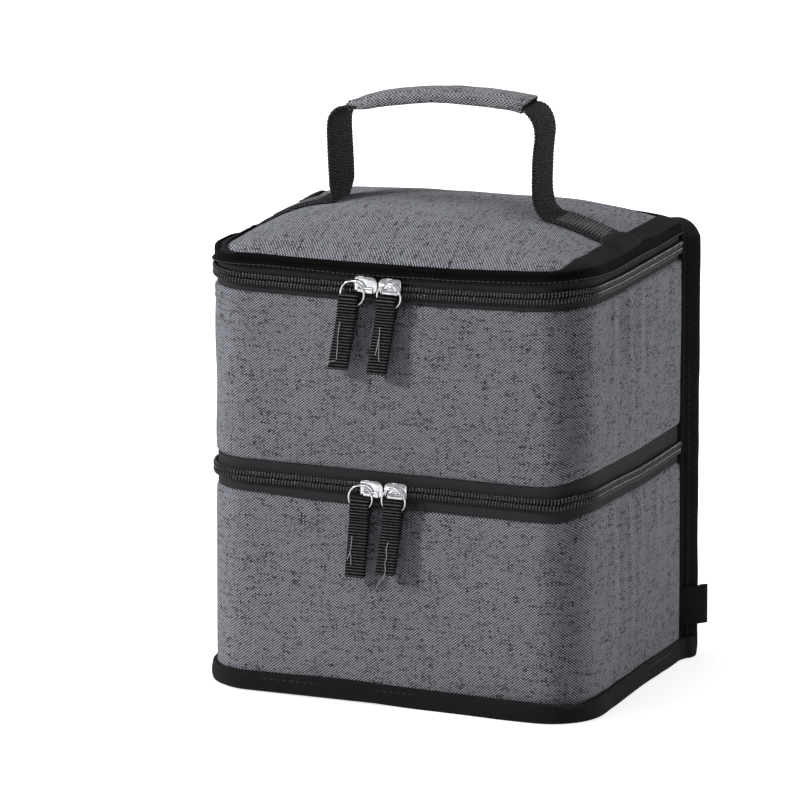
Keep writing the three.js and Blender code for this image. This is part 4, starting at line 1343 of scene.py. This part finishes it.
def upright(a, b):
    """True for an edge that runs through a plate's thickness."""
    return abs(a.x - b.x) < 1e-6 and abs(a.z - b.z) < 1e-6


def slider(name, x, z, nose, shift):
    """Two plates on a neck, with an arch over the outer one; only the flange on the fixed side is turned in."""
    plate = cube(name, (-6.5, -3.5, -4.6), (6.5, -2.5, 4.6))
    bevel(plate, lambda a, b: upright(a, b) and a.x > 0, 3.6, 5)
    bevel(plate, lambda a, b: upright(a, b) and a.x < -0.0064, 1.4, 3)
    pick(plate, "FACE", lambda c, n: n.y > 0.9)
    bpy.ops.mesh.inset(thickness=0.0009)
    done()
    pick(plate, "FACE", lambda c, n: n.y > 0.9 and c.z < -0.0042 and abs(c.x) < 0.004)
    bpy.ops.mesh.extrude_region_move(TRANSFORM_OT_translate={"value": (0, 0.0019, 0)})
    done()
    boss = cube("boss", (-4.6, -4.7, -4.3), (4.4, -3.3, -1.3))
    pick(boss, "FACE", lambda c, n: n.y < -0.9)
    bpy.ops.mesh.inset(thickness=0.0006)
    bpy.ops.transform.translate(value=(0, -0.0004, 0))
    done()
    under = cube("under", (-6.5, 1.6, -3.8), (6.5, 2.8, 3.8))
    bevel(under, lambda a, b: upright(a, b) and a.x > 0, 3.0, 4)
    neck = cube("neck", (4.0, -3.0, -0.6), (6.0, 2.0, 0.6))
    arch = cube("arch", (nose * shift - 1.7, -4.8, 4.0), (nose * shift + 1.7, -3.9, 5.0))
    pick(arch, "FACE", lambda c, n: n.y < -0.9)
    bpy.ops.mesh.spin(steps=14, angle=math.pi, center=(0, -0.0048, 0.0018), axis=(1, 0, 0))
    bpy.ops.mesh.extrude_region_move(TRANSFORM_OT_translate={"value": (0, 0.0009, 0)})
    done()
    for depth, wide in ((-0.0052, 1.3), (-0.0058, 1.3), (-0.0064, 1.35), (-0.0070, 1.25), (-0.0076, 1.1)):
        scaled(arch, lambda c: c.y < depth, (wide, 1, 1), (nose * shift * MM, 0, 0))
    pick(arch, "VERT", lambda c: True)
    bpy.ops.mesh.remove_doubles(threshold=0.00001)
    done()
    whole = joined([plate, boss, under, neck, arch])
    modify(whole, "BEVEL", width=0.00028, segments=2, limit_method="ANGLE", angle_limit=math.radians(40))
    whole.data.transform(Matrix.Translation((x, FRONT, z)) @ Matrix.Diagonal((nose, 1, 1, 1)))
    return closed(whole, 40)


def hung_ring(name, x, z):
    """A wire ring whose butted ends show as a narrower place."""
    made = torus(name, CHROME, (0.0068, 0.00060), (60, 12), (math.pi / 2, 0, 0), (x, RING_Y, z))
    butt = Vector((x + RING_REACH * math.cos(-0.5), RING_Y, z + RING_REACH * math.sin(-0.5)))
    near = min((v.co - butt).length for v in made.data.vertices)
    ring_of = [v.co.copy() for v in made.data.vertices if (v.co - butt).length < near + 0.0003]
    scaled(made, lambda c: any((c - r).length < 1e-6 for r in ring_of), (0.8, 0.8, 0.8), tuple(butt))
    smooth(made, 60)
    return made


def pull_stations(x, z, lean, stand, length):
    """A strip looped over the ring's foot and doubled below it; lean and stand move its end sideways and forwards."""
    side = [(0.74, -length), (0.74, -30), (0.76, -14), (1.3, -10.6), (1.9, -7.6), (1.9, -3.4), (1.3, -1.7), (0.0, -1.1),
            (-1.3, -1.7), (-1.9, -3.4), (-1.9, -7.6), (-1.3, -10.6), (-0.76, -14), (-0.74, -30), (-0.74, 0.4 - length)]
    path, runs = smooth_path([Vector((0, -out * MM, up * MM)) for out, up in side], 0.000275)
    loop, stations = Vector((x, RING_Y, z)), []
    for i, at in enumerate(path):
        ahead = heading(path, i)
        drop = max(0.0, -at.z - 0.007)
        bend = Vector((-lean * drop, -stand * drop * (1 + 4 * drop), 0))
        stations.append((loop + at + bend, Vector((0, ahead.z, -ahead.y)), Vector((1, 0, 0)), runs[i]))
    return stations


def pull(name, x, z, lean, stand, length):
    section = strip_section(0.00055, 0.0055, 0.0004)
    section = [q for a, b in zip(section, section[1:] + section[:1])
               for q in ([a] if (b - a).length < 0.005 else [a + (b - a) * k / 6 for k in range(6)])]

    def ribs(run, p):
        rib = abs(math.sin(math.pi * run / 0.00165))
        grain = 0.00004 * math.sin(p.y * 2 * math.pi / 0.0009)
        return (math.copysign(0.00026 * rib + grain, p.x) if abs(p.y) < 0.0052 else 0.0,
                math.copysign(0.00022 * rib, p.y) + 0.0003 * ripple(run * 60, x * 50))

    return swept(name, pull_stations(x, z, lean, stand, length), section, PULL_WEBBING, wave=ribs)


def loose_threads(name, x, z, lean, stand, length, strands):
    """Pale yarns on the pull's face; each strand is a list of (across, drop below the loop, lift) in millimetres."""
    top = z - 0.0011
    stations = pull_stations(x, z, lean, stand, length)
    face = [s[0] for s in stations[:len(stations) // 2]][::-1]
    drops = [top - p.z for p in face]
    points, faces = [], []
    for strand in strands:
        path, _ = smooth_path([Vector((a, d, h)) * MM for a, d, h in strand], 0.0006)
        base, rings = len(points), []
        places = []
        for across, drop, lift in path:
            y = np.interp(drop, drops, [p.y for p in face])
            middle = np.interp(drop, drops, [p.x for p in face])
            places.append(Vector((middle + across, y - 0.00095 - lift, top - drop)))
        for i, at in enumerate(places):
            ahead = heading(places, i)
            side = ahead.cross(BACKWARDS).normalized()
            radius = 0.00030 * (0.8 + 0.25 * ripple(i * 0.7, base * 0.3)) * (0.5 if i in (0, len(places) - 1) else 1.0)
            rings.append(circle(at, side, side.cross(ahead), radius, 5))
        tube(points, faces, rings)
    return closed(new_object(name, points, faces, GREY_THREAD), 80)


# Each set of hardware: x in millimetres, the fold's height, which way the nose points, where the arch stands, how far
# the ring and the pull hang aside, the pull's lean and stand, its length, and the loose threads on it.
HARDWARE = [
    ("lid_zip_left", -13.0, LID_FOLD, 1, -2.5, -7.0, -2.1, 0.14, 0.10, 41.6,
     [[(-2.8, 14.4, 0), (-2.5, 22, 0.1), (-1.6, 29, 0), (-1.0, 35.3, 0)],
      [(-1.5, 35.8, 0), (-3.6, 36.0, 0.4), (-5.2, 37.0, 0.8), (-6.0, 38.4, 0.8)]]),
    ("lid_zip_right", 0.8, LID_FOLD, -1, 0.0, 0.4, -1.2, 0.13, 0.09, 42.6,
     [[(-1.6, 15.4, 0), (-0.9, 22, 0.1), (-0.2, 28, 0), (0.9, 34, 0)],
      [(-1.1, 19.4, 0.2), (-1.3, 26, 0.3), (-1.8, 31, 0)]]),
    ("middle_zip_left", -9.8, MIDDLE_FOLD, 1, -2.5, -5.6, 0.0, 0.05, 0.08, 43.6,
     [[(-3.1, 20, 0), (-3.0, 24, 0.1), (-3.3, 28.5, 0.2), (-4.8, 33, 0)],
      [(-3.3, 28.5, 0), (-2.6, 32, 0.1), (-2.2, 36, 0)]]),
    ("middle_zip_right", 4.0, MIDDLE_FOLD, -1, 0.0, -0.2, 0.0, 0.10, 0.09, 40.6,
     [[(0.0, 20.9, 0), (-0.6, 25, 0.2), (0.1, 29, 0), (-0.3, 33, 0.1), (0.6, 37.7, 0.2), (-0.8, 41.3, 0.4),
       (-3.0, 43.8, 0.2), (-4.6, 47.0, 0)]]),
]
for name, x, z, nose, shift, hang, aside, *hanging, strands in HARDWARE:
    ring_x, pull_x, ring_z = (x + hang) * MM, (x + hang + aside) * MM, z + 0.0020 - RING_REACH
    ride(slider(f"{name}_slider_cast", x * MM, z, nose, shift), f"{name}_slider", "chrome", f"{name}_slider")
    ride(hung_ring(f"{name}_wire_ring", ring_x, ring_z), f"{name}_ring", "chrome", f"{name}_ring")
    ride(pull(f"{name}_webbing_pull", pull_x, ring_z, *hanging), f"{name}_pull", "webbing", f"{name}_pull")
    ride(loose_threads(f"{name}_pull_threads", pull_x, ring_z, *hanging, strands), f"{name}_pull", "webbing")


# Blank woven tab on the right back seam: a strip folded at its outer end.
def tab():
    along, off = Vector((1, 1, 0)).normalized(), Vector((1, -1, 0)).normalized()
    corner = Vector((WIDTH / 2, BACK, 0))
    path = [Vector(p) for p in (
        (-0.0006, 0.0019), (0.0020, 0.0021), (0.0090, 0.0022), (0.0150, 0.0021), (0.0163, 0.0019), (0.0166, 0.0016),
        (0.0163, 0.0013), (0.0150, 0.0012), (0.0118, 0.0011))]
    grid = []
    for (a, b), run in zip(path, run_lengths(path)):
        flat = b + 0.0004 * math.sin(a * 300)
        grid.append([(corner + along * a + off * (flat + 0.0003 * ripple(z * 90, a * 90)) + UP * z, (run, z))
                     for z in np.linspace(0.0191, 0.0409, 15)])
    made = sheet("blank_tab", grid[::-1], LABEL, 0.0003)
    outward(made)
    return made


cut(ride(tab(), "lower_box", "label", "side_label"), (0.0218, 0.0236), "folded", "lower_back_seam_right")


# Printed marks of use on the left side: a sun on the upper compartment and a snowflake on the lower one.
def printed(name, strokes, run, z, wall, width=0.0015):
    points, faces = [], []
    for stroke in strokes:
        base = len(points)
        path = [Vector(p) for p in stroke]
        for i, p in enumerate(path):
            ahead = heading(path, i)
            across = Vector((-ahead.y, ahead.x)) * width / 2
            for q in (p + across, p - across):
                at_run, at_z = run - q.x, z + q.y
                points.append(plan(at_run, wall_out(at_run, at_z, wall) + 0.00016)[0] + UP * at_z)
        faces += [(a, a + 1, a + 3, a + 2) for a in range(base, len(points) - 2, 2)]
    made = new_object(name, points, faces, PRINT)
    modify(made, "SOLIDIFY", thickness=0.0001, offset=-1.0)
    outward(made)
    return made


def polar(radius, angle, middle=(0, 0)):
    return middle[0] + radius * math.cos(angle), middle[1] + radius * math.sin(angle)


def arc(middle, radius, end, steps):
    return [polar(radius, end * i / steps, middle) for i in range(steps + 1)]


def line(a, b, steps=4):
    return [(a[0] + (b[0] - a[0]) * i / steps, a[1] + (b[1] - a[1]) * i / steps) for i in range(steps + 1)]


def frame_lines(half=0.0155, corner=0.005):
    lines = []
    for k in range(4):
        c, s = polar(1, math.pi / 2 * k)
        side = line((half, -half + corner), (half, half - corner), 8)
        bend = arc((half - corner, half - corner), corner, math.pi / 2, 6)
        lines.append([(c * x - s * y, s * x + c * y) for x, y in side + bend[1:]])
    return lines


def sun_lines():
    rays = [line(polar(0.0068, math.pi / 4 * k), polar(0.0100, math.pi / 4 * k), 2) for k in range(8)]
    return frame_lines() + [arc((0, 0), 0.0043, 2 * math.pi, 24)] + rays


def snow_lines():
    strokes = []
    for k in range(6):
        a = math.pi / 3 * k + math.pi / 6
        strokes.append(line((0, 0), polar(0.0100, a), 5))
        for reach, length in ((0.0048, 0.0026), (0.0074, 0.0024)):
            foot = polar(reach, a)
            strokes += [line(foot, polar(length, a + turn, foot), 2) for turn in (-0.9, 0.9)]
    return frame_lines() + strokes


ride(printed("sun_print", sun_lines(), 0.055, 0.180, UPPER_WALL), "upper_box", "melange_fabric")
ride(printed("snow_print", snow_lines(), 0.052, 0.050, LOWER_WALL), "lower_box", "melange_fabric")


# Studio: a pale floor, soft lamps and a pale world.
def pale(name, lit, glow):
    """A pale finish that glows for the camera alone, so that the floor fades to white away from the bag."""
    f = Finish(name, (lit, lit, lit), 0.9, specular=0.0)
    x, y, _ = f.split(f.place())
    f.set("Emission Color", (1, 1, 1, 1))
    far = (x * x + y * y).math("SQRT")
    f.set("Emission Strength", f.seen() * f.node("ShaderNodeMapRange", far, 0.14, 0.32, glow, 1.0))
    return f.material


def add_studio():
    bpy.ops.mesh.primitive_plane_add(size=12, location=(0, 0, 0))
    floor = bpy.context.object
    floor.name = "studio_floor"
    floor.data.materials.append(pale("studio_white", 0.82, 0.70))
    world = bpy.data.worlds.new("studio")
    bpy.context.scene.world = world
    sky = Tree(world)
    glow = sky.nodes["Background"].inputs
    sky.put(glow["Strength"], sky.seen() * 0.93 + 0.07)
    sky.put(glow["Color"], (1, 1, 1, 1))
    for name, place, size, power in [
        ("key_left", (-2.2, -1.5, 1.5), 0.36, 68.0),
        ("side_right", (1.7, 1.6, 0.9), 0.8, 29.0),
        ("top", (-0.4, -0.3, 2.4), 1.0, 23.0),
    ]:
        lamp = bpy.data.lights.new(name, "AREA")
        lamp.energy = power
        lamp.size = size
        aimed(name, lamp, place, Vector((0, 0, 0.13)) - Vector(place))


add_studio()
bpy.context.scene.view_settings.view_transform = "Standard"
